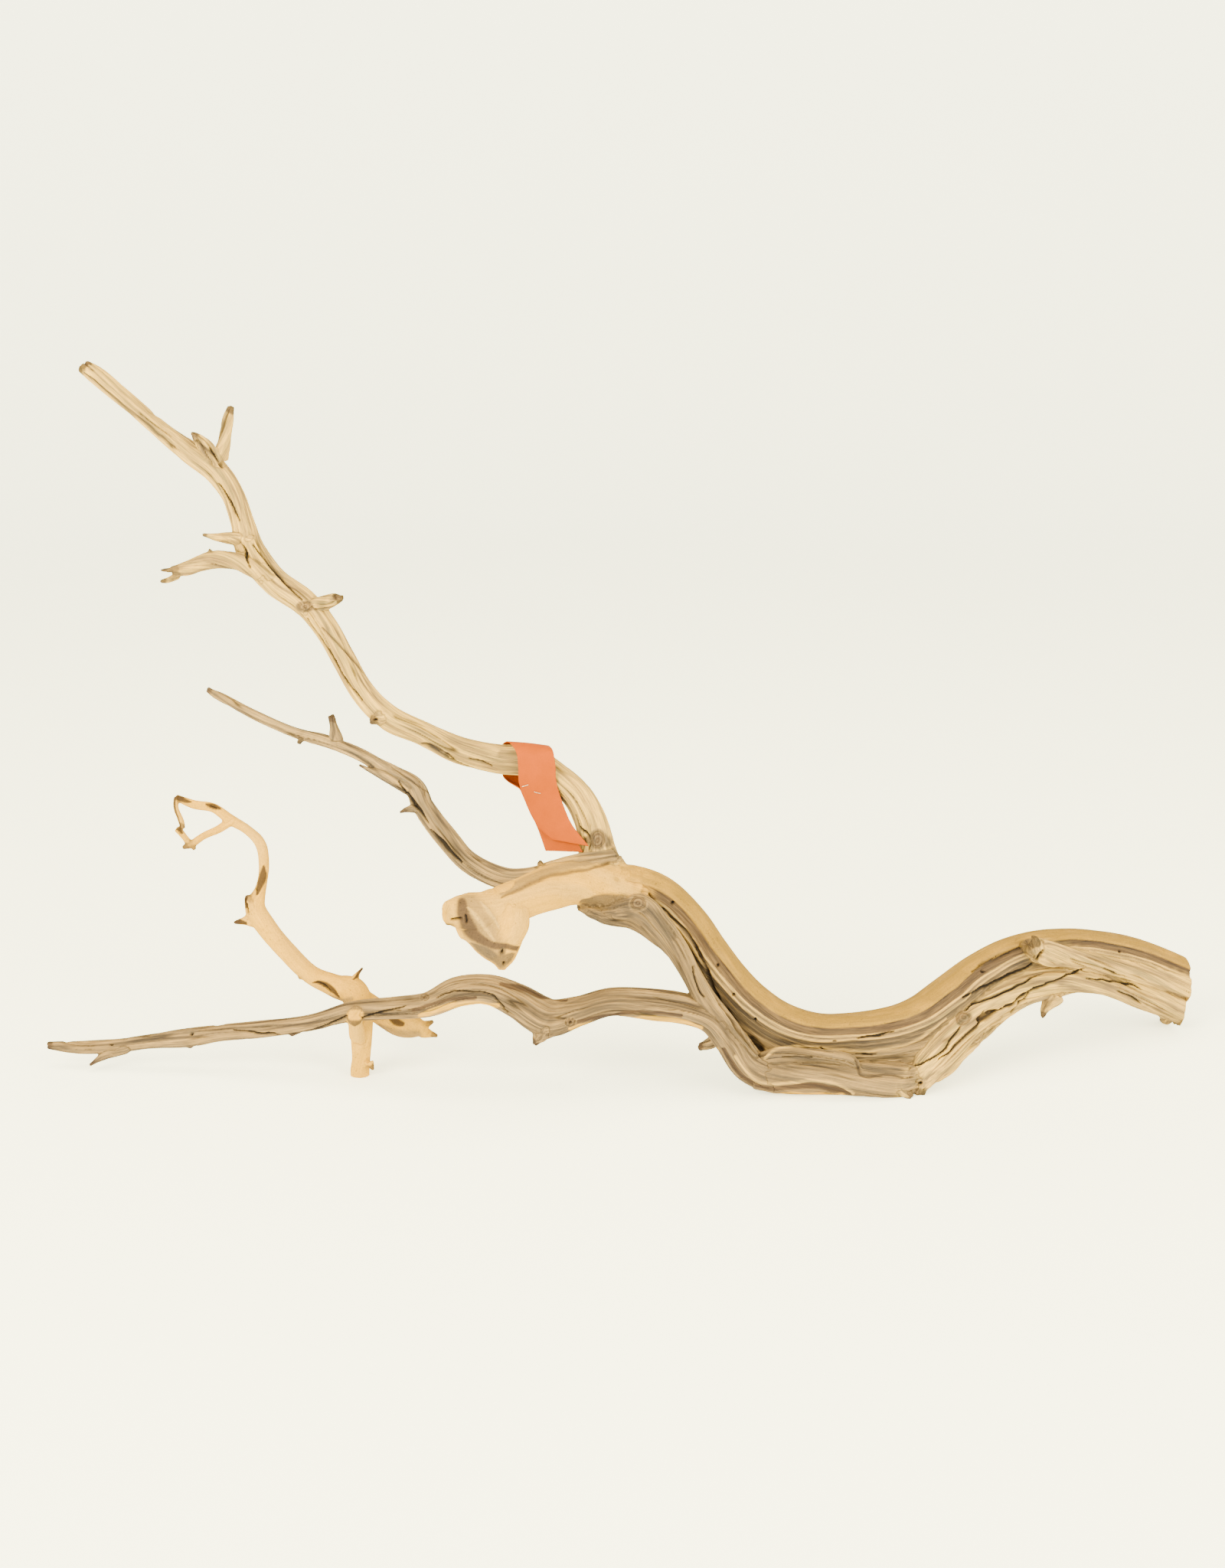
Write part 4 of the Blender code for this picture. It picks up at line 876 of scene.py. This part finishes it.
class Skin:
    """The skin's points with what is known at each: its limb, its grain, its carving and colour."""

    def __init__(self, mesh):
        self.points = mesh_points(mesh)
        self.normals = mesh_normals(mesh)
        count = len(self.points)
        self.relief = np.zeros(count)
        self.tone = np.zeros((count, 3))
        self.fibre = np.zeros(count)
        self.grain = np.zeros((count, 3))
        self.limb = np.zeros(count, dtype=int)
        self.closest = np.full(count, FAR)

    def find_limbs(self):
        """Places every point on the limbs near it and notes the one whose skin it is on."""
        found = []
        for name, _, stations, _, _ in GROWTH:
            rows = np.array(stations, dtype=float)
            margin = rows[:, 3:].max() + SEARCH_MARGIN
            inside = np.all((self.points > rows[:, :3].min(0) - margin)
                            & (self.points < rows[:, :3].max(0) + margin), axis=1)
            chosen = np.flatnonzero(inside)
            placed = place_on(stations, name == "trunk", self.points[chosen])
            found.append((chosen, placed))
            better = placed[3] < self.closest[chosen]
            self.closest[chosen[better]] = placed[3][better]
            self.limb[chosen[better]] = LIMB_NAMES.index(name)
        return found

    def carve_and_colour(self, found):
        """Gives every point the relief, colour and grain of its limbs, blended where they meet."""
        total = np.zeros(len(self.points))
        strongest = np.zeros(len(self.points))
        for number, (chosen, placed) in enumerate(found):
            name, kind = GROWTH[number][:2]
            apart = placed[3] - self.closest[chosen]
            near = apart < BLEND_REACH * 2
            chosen = chosen[near]
            if not len(chosen):
                continue
            placed = [value[near] for value in placed]
            stray = noise(self.points[chosen] / BORDER_PITCH + BORDER_SHIFT * number)
            border = apart[near] + BORDER_WANDER * stray
            weight = np.exp(-2.0 * border / BLEND_REACH) + LEAST_WEIGHT
            relief, tone, fibre, grain = surface(name, kind, number, placed)
            self.relief[chosen] += relief * weight
            self.tone[chosen] += tone * weight[:, None]
            self.fibre[chosen] += fibre * weight
            total[chosen] += weight
            best = weight > strongest[chosen]
            strongest[chosen[best]] = weight[best]
            self.grain[chosen[best]] = grain[best]
        self.relief /= total
        self.tone /= total[:, None]
        self.fibre /= total

    def see(self):
        """Notes where every point shows in the camera's frame, and how squarely."""
        to_camera = np.array([0.0, -math.cos(VIEW_ELEVATION), math.sin(VIEW_ELEVATION)])
        self.facing = ease_between(*FACING, self.normals @ to_camera)
        places = self.points / MARK_STRAY_PITCH
        stray = np.column_stack([noise(places), noise(places + MARK_STRAY_SHIFT)])
        self.spots = seen_at(self.points) + 2 * MARK_WANDER * stray

    def near(self, limbs, low, high):
        """The points of some limbs that show inside a box of the frame."""
        inside = np.all((self.spots > low) & (self.spots < high), axis=1) & (self.facing > 0)
        chosen = np.flatnonzero(inside)
        numbers = [LIMB_NAMES.index(name) for name in limbs.split()]
        return chosen[np.isin(self.limb[chosen], numbers)]

    def mark(self, chosen, kind, reach):
        """Adds one mark, where reach is 0 on its middle line and 1 at its edge."""
        height, colour, share, soft = MARK_KINDS[kind]
        weight = (1 - ease_between(1 - soft, 1.0, reach)) * self.facing[chosen]
        self.relief[chosen] += height * weight
        self.tone[chosen] = mix(self.tone[chosen], colour[None], share * weight)

    def draw_marks(self):
        """Adds the long marks and then the round ones."""
        for limbs, kind, *paths in MARKS:
            for path in paths:
                rows, _ = read_curve(path, MARK_STEP)
                widest = rows[:, 2].max() + 1.0
                chosen = self.near(limbs, rows[:, :2].min(0) - widest, rows[:, :2].max(0) + widest)
                self.mark(chosen, kind, path_reach(self.spots[chosen], rows))
        for limbs, kind, x, y, wide, high in SPOTS:
            chosen, reach = self.round_reach(limbs, x, y, wide, high)
            self.mark(chosen, kind, reach)

    def round_reach(self, limbs, x, y, wide, high):
        """The points in a round mark, and how far each is from its middle as a share of its size."""
        middle, size = np.array([x, y]), np.array([wide, high])
        chosen = self.near(limbs, middle - size, middle + size)
        return chosen, np.linalg.norm((self.spots[chosen] - middle) / size, axis=1)

    def draw_knots(self):
        """Low swellings with a dark heart, rings and a groove between them."""
        for limbs, x, y, wide, high in KNOTS:
            chosen, reach = self.round_reach(limbs, x, y, wide, high)
            weight = (1 - ease_between(*KNOT_EDGE, reach)) * self.facing[chosen]
            ring = 0.5 + 0.5 * np.cos(2 * math.pi * KNOT_RINGS * reach)
            core = 1 - ease_between(*KNOT_CORE, reach)
            groove = 1 - ease_between(0.0, GROOVE_WIDTH, np.abs(reach - GROOVE_PLACE))
            self.relief[chosen] += weight * (KNOT_SWELL * (1 - reach ** 2) + RING_HEIGHT * ring
                                             - GROOVE_DEPTH * groove)
            outer = mix(TAN[None], GREY_STRAW[None], ring)
            tone = mix(outer, mix(BROWN[None], TAN[None], ring), core)
            tone = mix(tone, DARK_BROWN[None], GROOVE_SHARE * groove)
            self.tone[chosen] = mix(self.tone[chosen], tone, KNOT_SHARE * weight)


def path_reach(spots, rows):
    """How far spots are from a path, as a share of its half width there."""
    closest = np.full(len(spots), FAR)
    for (ax, ay, a_half), (bx, by, b_half) in zip(rows[:-1], rows[1:]):
        away = spots - (ax, ay)
        run = np.array([bx - ax, by - ay])
        share = np.clip(away @ run / (run @ run), 0.0, 1.0)
        gap = np.linalg.norm(away - share[:, None] * run, axis=1)
        closest = np.minimum(closest, gap / (a_half + (b_half - a_half) * share))
    return closest


def ridges(grain, pitch, stretch, seed):
    """0 in the valleys and about 1 on the ridges of long grain lines."""
    scale = np.array([pitch, pitch, pitch * stretch])
    return np.clip(np.abs(noise(grain / scale + seed * SEED_SHIFT)) * RIDGE_GAIN, 0.0, RIDGE_TOP)


def grain_cracks(grain, number, cracked):
    """1 in the fine cracks along the grain, which open in part of the surface."""
    line = np.abs(noise(grain / CRACK_PITCH + CRACK_SEED * number + CRACK_SHIFT))
    where = ease_between(CRACKED_FROM - cracked, CRACKED_TO - cracked,
                         0.5 + noise(grain / CRACK_PATCH + CRACK_PATCH_SHIFT))
    return (1 - ease_between(0.0, CRACK_WIDTH, line)) * where


def surface(name, kind, number, placed):
    """Relief in mm, colour, fibre amount and grain coordinates on one limb."""
    along, angle, radius, _, reach = placed
    wide_pitch, wide_high, fine_pitch, fine_high, stretch, crack_deep, cracked, turns = CARVING[kind]
    turned = angle + 2 * math.pi * turns * along / max(along.max() + 1.0, SHORTEST_TURN)
    grain = np.column_stack([radius * np.cos(turned), radius * np.sin(turned),
                             along + GRAIN_SHIFT * number])
    wide = ridges(grain, wide_pitch, stretch, number)
    fine = ridges(grain, fine_pitch, stretch, number + 3)
    relief = wide_high * (wide - 0.5) + fine_high * (fine - 0.5)
    patch = ease_between(*PATCH_EDGES, noise(grain / PATCH_PITCH + number))
    valley, ridge, patched = PALETTE[kind]
    height = WIDE_SHARE * wide + (1 - WIDE_SHARE) * fine
    tone = mix(valley[None], ridge[None], ease_between(*RIDGE_COLOURS, height))
    tone = mix(tone, patched[None], PATCH_SHARE * patch)
    # Cracks are dented, and darkened with painted shade
    if crack_deep:
        crack = grain_cracks(grain, number, cracked)
        relief -= crack_deep * crack
        tone = mix(tone, CRACK_SHADE[None], CRACK_SHARE * crack)
    tip = weathered_tip(name, along, radius, grain)
    tone = mix(tone, mix(BROWN[None], DARK_BROWN[None], wide - 0.2), TIP_SHARE * tip)
    fibre = np.full(len(along), PALE_FIBRE if kind == "pale" else 1.0)
    if name == "trunk":
        relief, tone, fibre = trunk_face(relief, tone, fibre, angle, face_reach(reach, along), grain)
    return relief, tone, fibre, grain


def weathered_tip(name, along, radius, grain):
    """1 on the brown, broken end of a limb or stub, and 0 elsewhere."""
    if name in WHOLE_ENDS:
        return np.zeros(len(along))
    start = along.max() - TIP_LENGTH + TIP_RAG * noise(grain / TIP_RAG)
    return ease_between(0.0, TIP_EDGE, along - start) * (1 - ease_between(*TIP_RADII, radius))


def trunk_face(relief, tone, fibre, angle, reach, grain):
    """The trunk's smooth outer rim, and the growth bands between it and the gnarled strands."""
    reach = reach + RIM_WANDER * noise(grain / RIM_WANDER_PITCH)
    rim = 1 - ease_between(*RIM_EDGE, reach)
    front = ease_between(0.0, 0.5, np.sin(angle))
    soft = RIM_WAVE * noise(grain / RIM_WAVE_PITCH)
    soft += RIM_LINES * ridges(grain, RIM_LINE_PITCH, RIM_LINE_STRETCH, RIM_SEED)
    places, colours = zip(*FACE_BANDS)
    bands = np.column_stack([np.interp(reach, places, np.array(colours)[:, k]) for k in range(3)])
    # The bands include painted shade in the step next to the rim
    tone = mix(tone, bands, BAND_SHARE * front * (1 - ease_between(*BANDS_END, reach)))
    shade = noise(grain / RIM_SHADE_PITCH)
    streak = noise(grain / RIM_STREAK_PITCH + RIM_STREAK_SHIFT) + 0.4 * shade
    worn = WORN_FRONT + WORN_BACK * (1 - front)
    pale = mix(RIM[None], PALE[None], 0.25 * ease_between(-0.1, 0.6, shade))
    pale = mix(pale, TAN[None], worn * ease_between(0.0, 0.5, streak))
    return relief * (1 - rim) + soft * rim, mix(tone, pale, rim), fibre * (1 - rim) + worn * rim


# Materials

class Nodes:
    """Short ways to add and join shader nodes."""

    def __init__(self, name):
        self.material = bpy.data.materials.new(name)
        self.material.use_nodes = True
        self.tree = self.material.node_tree
        self.shader = self.tree.nodes["Principled BSDF"]

    def add(self, kind, **values):
        node = self.tree.nodes.new(kind)
        for key, value in values.items():
            setattr(node, key, value)
        return node

    def join(self, source, target):
        self.tree.links.new(source, target)

    def attribute(self, name, output):
        return self.add("ShaderNodeAttribute", attribute_name=name).outputs[output]

    def place(self):
        """Where a point is on its object, in metres."""
        return self.add("ShaderNodeTexCoord").outputs["Object"]

    def noise(self, vector, scale, detail, roughness=0.55):
        """Noise over a vector that is first scaled, a number for each direction."""
        mapping = self.add("ShaderNodeMapping")
        mapping.inputs["Scale"].default_value = scale
        self.join(vector, mapping.inputs["Vector"])
        texture = self.add("ShaderNodeTexNoise")
        texture.inputs["Scale"].default_value = 1.0
        texture.inputs["Detail"].default_value = detail
        texture.inputs["Roughness"].default_value = roughness
        self.join(mapping.outputs["Vector"], texture.inputs["Vector"])
        return texture.outputs["Fac"]

    def remap(self, value, low, high, to_low, to_high):
        """A number that goes from to_low to to_high as the value goes from low to high."""
        node = self.add("ShaderNodeMapRange", clamp=True)
        self.join(value, node.inputs["Value"])
        for key, number in zip(("From Min", "From Max", "To Min", "To Max"),
                               (low, high, to_low, to_high)):
            node.inputs[key].default_value = number
        return node.outputs["Result"]

    def math(self, operation, first, second):
        node = self.add("ShaderNodeMath", operation=operation)
        for socket, value in zip(node.inputs, (first, second)):
            if isinstance(value, (int, float)):
                socket.default_value = value
            else:
                self.join(value, socket)
        return node.outputs["Value"]

    def ramp(self, value, low, low_colour, high, high_colour):
        """A colour that goes from one to another as the value goes from low to high."""
        node = self.add("ShaderNodeValToRGB")
        for stop, place, colour in zip(node.color_ramp.elements, (low, high),
                                       (low_colour, high_colour)):
            stop.position = place
            stop.color = (*colour, 1.0)
        self.join(value, node.inputs["Fac"])
        return node.outputs["Color"]

    def bump(self, height, strength, distance):
        """Gives the surface a fine relief, a distance in metres."""
        node = self.add("ShaderNodeBump")
        node.inputs["Strength"].default_value = strength
        node.inputs["Distance"].default_value = distance
        self.join(height, node.inputs["Height"])
        self.join(node.outputs["Normal"], self.shader.inputs["Normal"])


def wood_shade(nodes, grain, fibre):
    """How light the wood is, by its fibre lines or its speckle, and its threads' own noise."""
    strands = nodes.noise(grain, STRAND_SCALE, 3.0)
    threads = nodes.noise(grain, THREAD_SCALE, 4.0)
    hairs = nodes.noise(grain, HAIR_SCALE, 3.0)
    grit = nodes.noise(grain, GRIT_SCALE, 5.0, GRIT_ROUGHNESS)
    lines = nodes.math("MULTIPLY", nodes.remap(threads, *THREAD_SHADE),
                       nodes.remap(hairs, *HAIR_SHADE))
    lines = nodes.math("MULTIPLY", lines, nodes.remap(strands, *STRAND_SHADE))
    speckle = nodes.math("MULTIPLY", nodes.remap(grit, *GRIT_SHADE),
                         nodes.remap(hairs, *HAIR_TOUCH))
    amount = nodes.add("ShaderNodeMix", data_type="FLOAT")
    nodes.join(fibre, amount.inputs[0])
    nodes.join(speckle, amount.inputs[2])
    nodes.join(lines, amount.inputs[3])
    return amount.outputs[0], threads


def wood_pits(nodes, grain, fibre):
    """1 in the small pores of the smooth wood, which lie in scattered patches."""
    cells = nodes.add("ShaderNodeTexVoronoi", feature="F1")
    cells.inputs["Scale"].default_value = PIT_SCALE
    nodes.join(grain, cells.inputs["Vector"])
    pit = nodes.remap(cells.outputs["Distance"], *PIT_SHAPE)
    rare = nodes.remap(nodes.noise(grain, PIT_PATCH_SCALE, 1.0), *PIT_PATCHES)
    smooth = nodes.math("SUBTRACT", 1.0, fibre)
    return nodes.math("MULTIPLY", nodes.math("MULTIPLY", pit, rare), smooth)


def wood_material():
    """Dry wood: the colour stored on the skin, stained along its grain."""
    nodes = Nodes("dry_wood")
    grain = nodes.attribute("grain", "Vector")
    fibre = nodes.attribute("fibre", "Fac")
    shade, threads = wood_shade(nodes, grain, fibre)
    pit = wood_pits(nodes, grain, fibre)
    pitted = nodes.math("SUBTRACT", shade, nodes.math("MULTIPLY", pit, PIT_DARKNESS))
    stain = nodes.ramp(nodes.math("MULTIPLY", pitted, STAIN_SCALE), 0.3, DARK_STAIN,
                       1.0, LIGHT_STAIN)
    stained = nodes.add("ShaderNodeVectorMath", operation="MULTIPLY")
    nodes.join(nodes.attribute("tone", "Color"), stained.inputs[0])
    nodes.join(stain, stained.inputs[1])
    nodes.join(stained.outputs["Vector"], nodes.shader.inputs["Base Color"])
    nodes.join(nodes.remap(threads, *WOOD_ROUGHNESS), nodes.shader.inputs["Roughness"])
    nodes.bump(nodes.math("SUBTRACT", shade, nodes.math("MULTIPLY", pit, PIT_DEPTH)),
               WOOD_BUMP, WOOD_BUMP_DEPTH)
    nodes.shader.inputs["Specular IOR Level"].default_value = MATTE
    return nodes.material


# Storing the skin as pieces

def add_attribute(mesh, name, kind, field, values):
    """Stores a row of values at every point of a mesh."""
    mesh.attributes.new(name, kind, "POINT").data.foreach_set(field, values.ravel())


def store_piece(name, skin, faces, normals, material):
    """Makes one piece of some of the skin's faces; it keeps the whole skin's normals."""
    used, local = np.unique(faces, return_inverse=True)
    mesh = bpy.data.meshes.new(name)
    mesh.from_pydata(((skin.points[used] + CENTRE_SHIFT) * MM).tolist(), [],
                     local.reshape(-1, 4).tolist())
    tone = np.column_stack([skin.tone[used], np.ones(len(used))])
    add_attribute(mesh, "tone", "FLOAT_COLOR", "color", tone)
    add_attribute(mesh, "grain", "FLOAT_VECTOR", "vector", skin.grain[used])
    add_attribute(mesh, "fibre", "FLOAT", "value", skin.fibre[used])
    mesh.shade_smooth()
    mesh.normals_split_custom_set_from_vertices(normals[used].tolist())
    mesh.materials.append(material)
    piece = new_object(name, mesh)
    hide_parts("ghost_wood")
    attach(piece, "root")


def carved_points(skin):
    """The skin's points moved by their relief, with the broken end and the underside cut flat."""
    points = skin.points + skin.normals * skin.relief[:, None]
    point, way_out = (np.array(part) for part in BROKEN_END)
    way_out = way_out / np.linalg.norm(way_out)
    past = np.clip((points - point) @ way_out, 0.0, None)
    points -= past[:, None] * way_out
    points[:, 2] = np.clip(points[:, 2], 0.0, None)
    return points


def make_wood():
    """Grows, carves and colours the skin, and stores its pieces."""
    mesh = grown_skin()
    skin = Skin(mesh)
    skin.carve_and_colour(skin.find_limbs())
    skin.see()
    skin.draw_marks()
    skin.draw_knots()
    skin.points = carved_points(skin)
    set_mesh_points(mesh, skin.points)
    normals = mesh_normals(mesh)
    faces = mesh_quads(mesh)
    material = wood_material()
    owner = skin.limb[faces[:, 0]]
    place = skin.points[faces[:, 0], 0]
    for name, (limbs, (left, right)) in PIECES.items():
        numbers = [LIMB_NAMES.index(limb) for limb in limbs]
        chosen = faces[np.isin(owner, numbers) & (place >= left) & (place < right)]
        store_piece(name, skin, chosen, normals, material)


# The card band and its staples

def card_material():
    """Matte orange card with a faint mottle and fine fibres."""
    nodes = Nodes("orange_card")
    place = nodes.place()
    mottle = nodes.noise(place, CARD_MOTTLE, 3.0)
    fibres = nodes.noise(place, CARD_FIBRES, 3.0, 0.6)
    tint = nodes.ramp(mottle, 0.3, CARD_ORANGE * 0.9, 0.7, CARD_ORANGE)
    shaded = nodes.add("ShaderNodeVectorMath", operation="SCALE")
    nodes.join(tint, shaded.inputs[0])
    nodes.join(nodes.remap(fibres, *CARD_SHADE), shaded.inputs["Scale"])
    nodes.join(shaded.outputs["Vector"], nodes.shader.inputs["Base Color"])
    nodes.join(nodes.remap(fibres, *CARD_ROUGHNESS), nodes.shader.inputs["Roughness"])
    nodes.bump(fibres, CARD_BUMP, CARD_BUMP_DEPTH)
    nodes.shader.inputs["Specular IOR Level"].default_value = MATTE
    return nodes.material


def card_points():
    """Rows of points across the strip, a row for every step along it."""
    edges = np.array(CARD_EDGES, dtype=float)
    centre, _ = read_curve(edges.mean(axis=1), CARD_STEP)
    share = np.linspace(0.0, 1.0, len(centre))
    knots = np.linspace(0.0, 1.0, len(edges))
    half = (edges[:, 1] - edges[:, 0]) / 2
    reach = np.column_stack([np.interp(share, knots, half[:, k]) for k in range(3)])
    across = np.linspace(-1.0, 1.0, CARD_ACROSS)
    out = np.cross(np.gradient(centre, axis=0), reach)
    out /= np.linalg.norm(out, axis=1, keepdims=True)
    bow = CARD_BOW * (across ** 2 - 0.5)
    return (centre[:, None] + reach[:, None] * across[None, :, None]
            + out[:, None] * bow[None, :, None])


def make_card_band():
    """A strip of card bent over the upper limb, with its two tails together below."""
    points = card_points()
    mesh = bpy.data.meshes.new("card_band_strip")
    start = np.arange(len(points) - 1)[:, None] * CARD_ACROSS + np.arange(CARD_ACROSS - 1)
    quads = np.stack([start, start + 1, start + CARD_ACROSS + 1, start + CARD_ACROSS], -1)
    mesh.from_pydata(((points.reshape(-1, 3) + CENTRE_SHIFT) * MM).tolist(), [],
                     quads.reshape(-1, 4).tolist())
    mesh.shade_smooth()
    mesh.materials.append(card_material())
    band = new_object("card_strip", mesh)
    solid = band.modifiers.new("thickness", "SOLIDIFY")
    solid.thickness = CARD_THICKNESS * MM
    solid.offset = 0.0
    solid.use_even_offset = True
    edge = band.modifiers.new("edge", "BEVEL")
    edge.width = CARD_EDGE * MM
    edge.segments = 2
    edge.limit_method = "ANGLE"
    edge.angle_limit = math.radians(50)
    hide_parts("card_band")
    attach(band, "root")


def steel_material():
    """Satin steel wire, rubbed unevenly."""
    nodes = Nodes("staple_steel")
    rubbed = nodes.noise(nodes.place(), WIRE_RUBBING, 3.0)
    nodes.shader.inputs["Base Color"].default_value = STEEL
    nodes.shader.inputs["Metallic"].default_value = 1.0
    nodes.join(nodes.remap(rubbed, *STEEL_ROUGHNESS), nodes.shader.inputs["Roughness"])
    return nodes.material


def make_staple(node, x, y, z, tilt, material):
    """A bent wire: its crown in front, legs through both tails, and their ends folded in."""
    route = STAPLE_HALF + tuple((-across, deep) for across, deep in reversed(STAPLE_HALF[:-1]))
    middle = np.array([x, y, z])
    along = np.array([math.cos(tilt), 0.0, -math.sin(tilt)])
    places = [middle + along * across + np.array([0.0, deep, 0.0]) for across, deep in route]
    thick = STAPLE_WIRE / 2
    points, faces = tube("wire", [(*place, thick, thick) for place in places], ROUND,
                         STAPLE_SIDES, STAPLE_STEP)
    mesh = bpy.data.meshes.new(node + "_wire")
    mesh.from_pydata(((points + CENTRE_SHIFT) * MM).tolist(), [], faces)
    mesh.shade_smooth()
    mesh.materials.append(material)
    wire = new_object(node + "_wire", mesh)
    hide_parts(node)
    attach(wire, "root")


# Stage

def floor_profile():
    """The floor's outline from its middle outward: flat, a round cove and a wall."""
    profile = [(0.0, 0.0), (FLOOR_RADIUS, 0.0)]
    for turn in np.linspace(0.0, math.pi / 2, COVE_STEPS + 1)[1:]:
        profile.append((FLOOR_RADIUS + COVE * math.sin(turn), COVE * (1 - math.cos(turn))))
    profile.append((FLOOR_RADIUS + COVE, WALL_TOP))
    return profile


def floor_material():
    """Pale floor that is lit a little from within."""
    nodes = Nodes("pale_floor")
    mottle = nodes.noise(nodes.place(), FLOOR_MOTTLE, 2.0)
    nodes.join(nodes.ramp(mottle, 0.0, FLOOR_SHADE, 1.0, FLOOR_LIGHT),
               nodes.shader.inputs["Base Color"])
    nodes.shader.inputs["Roughness"].default_value = 0.9
    nodes.shader.inputs["Emission Color"].default_value = FLOOR_GLOW
    nodes.shader.inputs["Emission Strength"].default_value = GLOW_STRENGTH
    return nodes.material


def make_floor():
    """A pale round floor that curves up into a wall, far enough out to be clear from every side."""
    profile = floor_profile()
    angles = np.linspace(0.0, 2 * math.pi, FLOOR_SIDES, endpoint=False)
    points = [(out * math.cos(angle), out * math.sin(angle), up)
              for out, up in profile for angle in angles]
    faces = []
    for ring in range(len(profile) - 1):
        for side in range(FLOOR_SIDES):
            here = ring * FLOOR_SIDES + side
            after = ring * FLOOR_SIDES + (side + 1) % FLOOR_SIDES
            faces.append((here, here + FLOOR_SIDES, after + FLOOR_SIDES, after))
    mesh = bpy.data.meshes.new("floor")
    mesh.from_pydata(points, [], faces)
    mesh.shade_smooth()
    mesh.materials.append(floor_material())
    new_object("floor", mesh)


def make_lights():
    """Soft square lamps that point at the wood, and an even warm room."""
    for name, place, width, height, watts in LAMPS:
        lamp = bpy.data.lights.new(name, "AREA")
        lamp.shape = "RECTANGLE"
        lamp.size = width
        lamp.size_y = height
        lamp.energy = watts
        lamp.color = WARM_LIGHT
        obj = bpy.data.objects.new(name, lamp)
        bpy.context.collection.objects.link(obj)
        obj.location = place
        obj.rotation_euler = (LAMP_TARGET - Vector(place)).to_track_quat("-Z", "Y").to_euler()
    world = bpy.data.worlds.new("soft_room")
    bpy.context.scene.world = world
    world.use_nodes = True
    sky = world.node_tree.nodes["Background"]
    sky.inputs["Color"].default_value = (*WARM_LIGHT, 1.0)
    sky.inputs["Strength"].default_value = ROOM_STRENGTH


def make_camera():
    """The camera at the photograph's angle."""
    camera = bpy.data.cameras.new("camera")
    camera.lens = LENS
    camera.sensor_width = SENSOR
    camera.sensor_fit = "AUTO"
    obj = bpy.data.objects.new("camera", camera)
    bpy.context.collection.objects.link(obj)
    target = (VIEW_TARGET + CENTRE_SHIFT) * MM
    back = np.array([0.0, -math.cos(VIEW_ELEVATION), math.sin(VIEW_ELEVATION)])
    obj.location = target + VIEW_DISTANCE * MM * back
    obj.rotation_euler = (math.pi / 2 - VIEW_ELEVATION, 0.0, 0.0)
    bpy.context.scene.camera = obj


make_camera()
make_lights()
make_floor()
make_wood()
make_card_band()
staple_steel = steel_material()
for node, staple in STAPLES.items():
    make_staple(node, *staple, staple_steel)
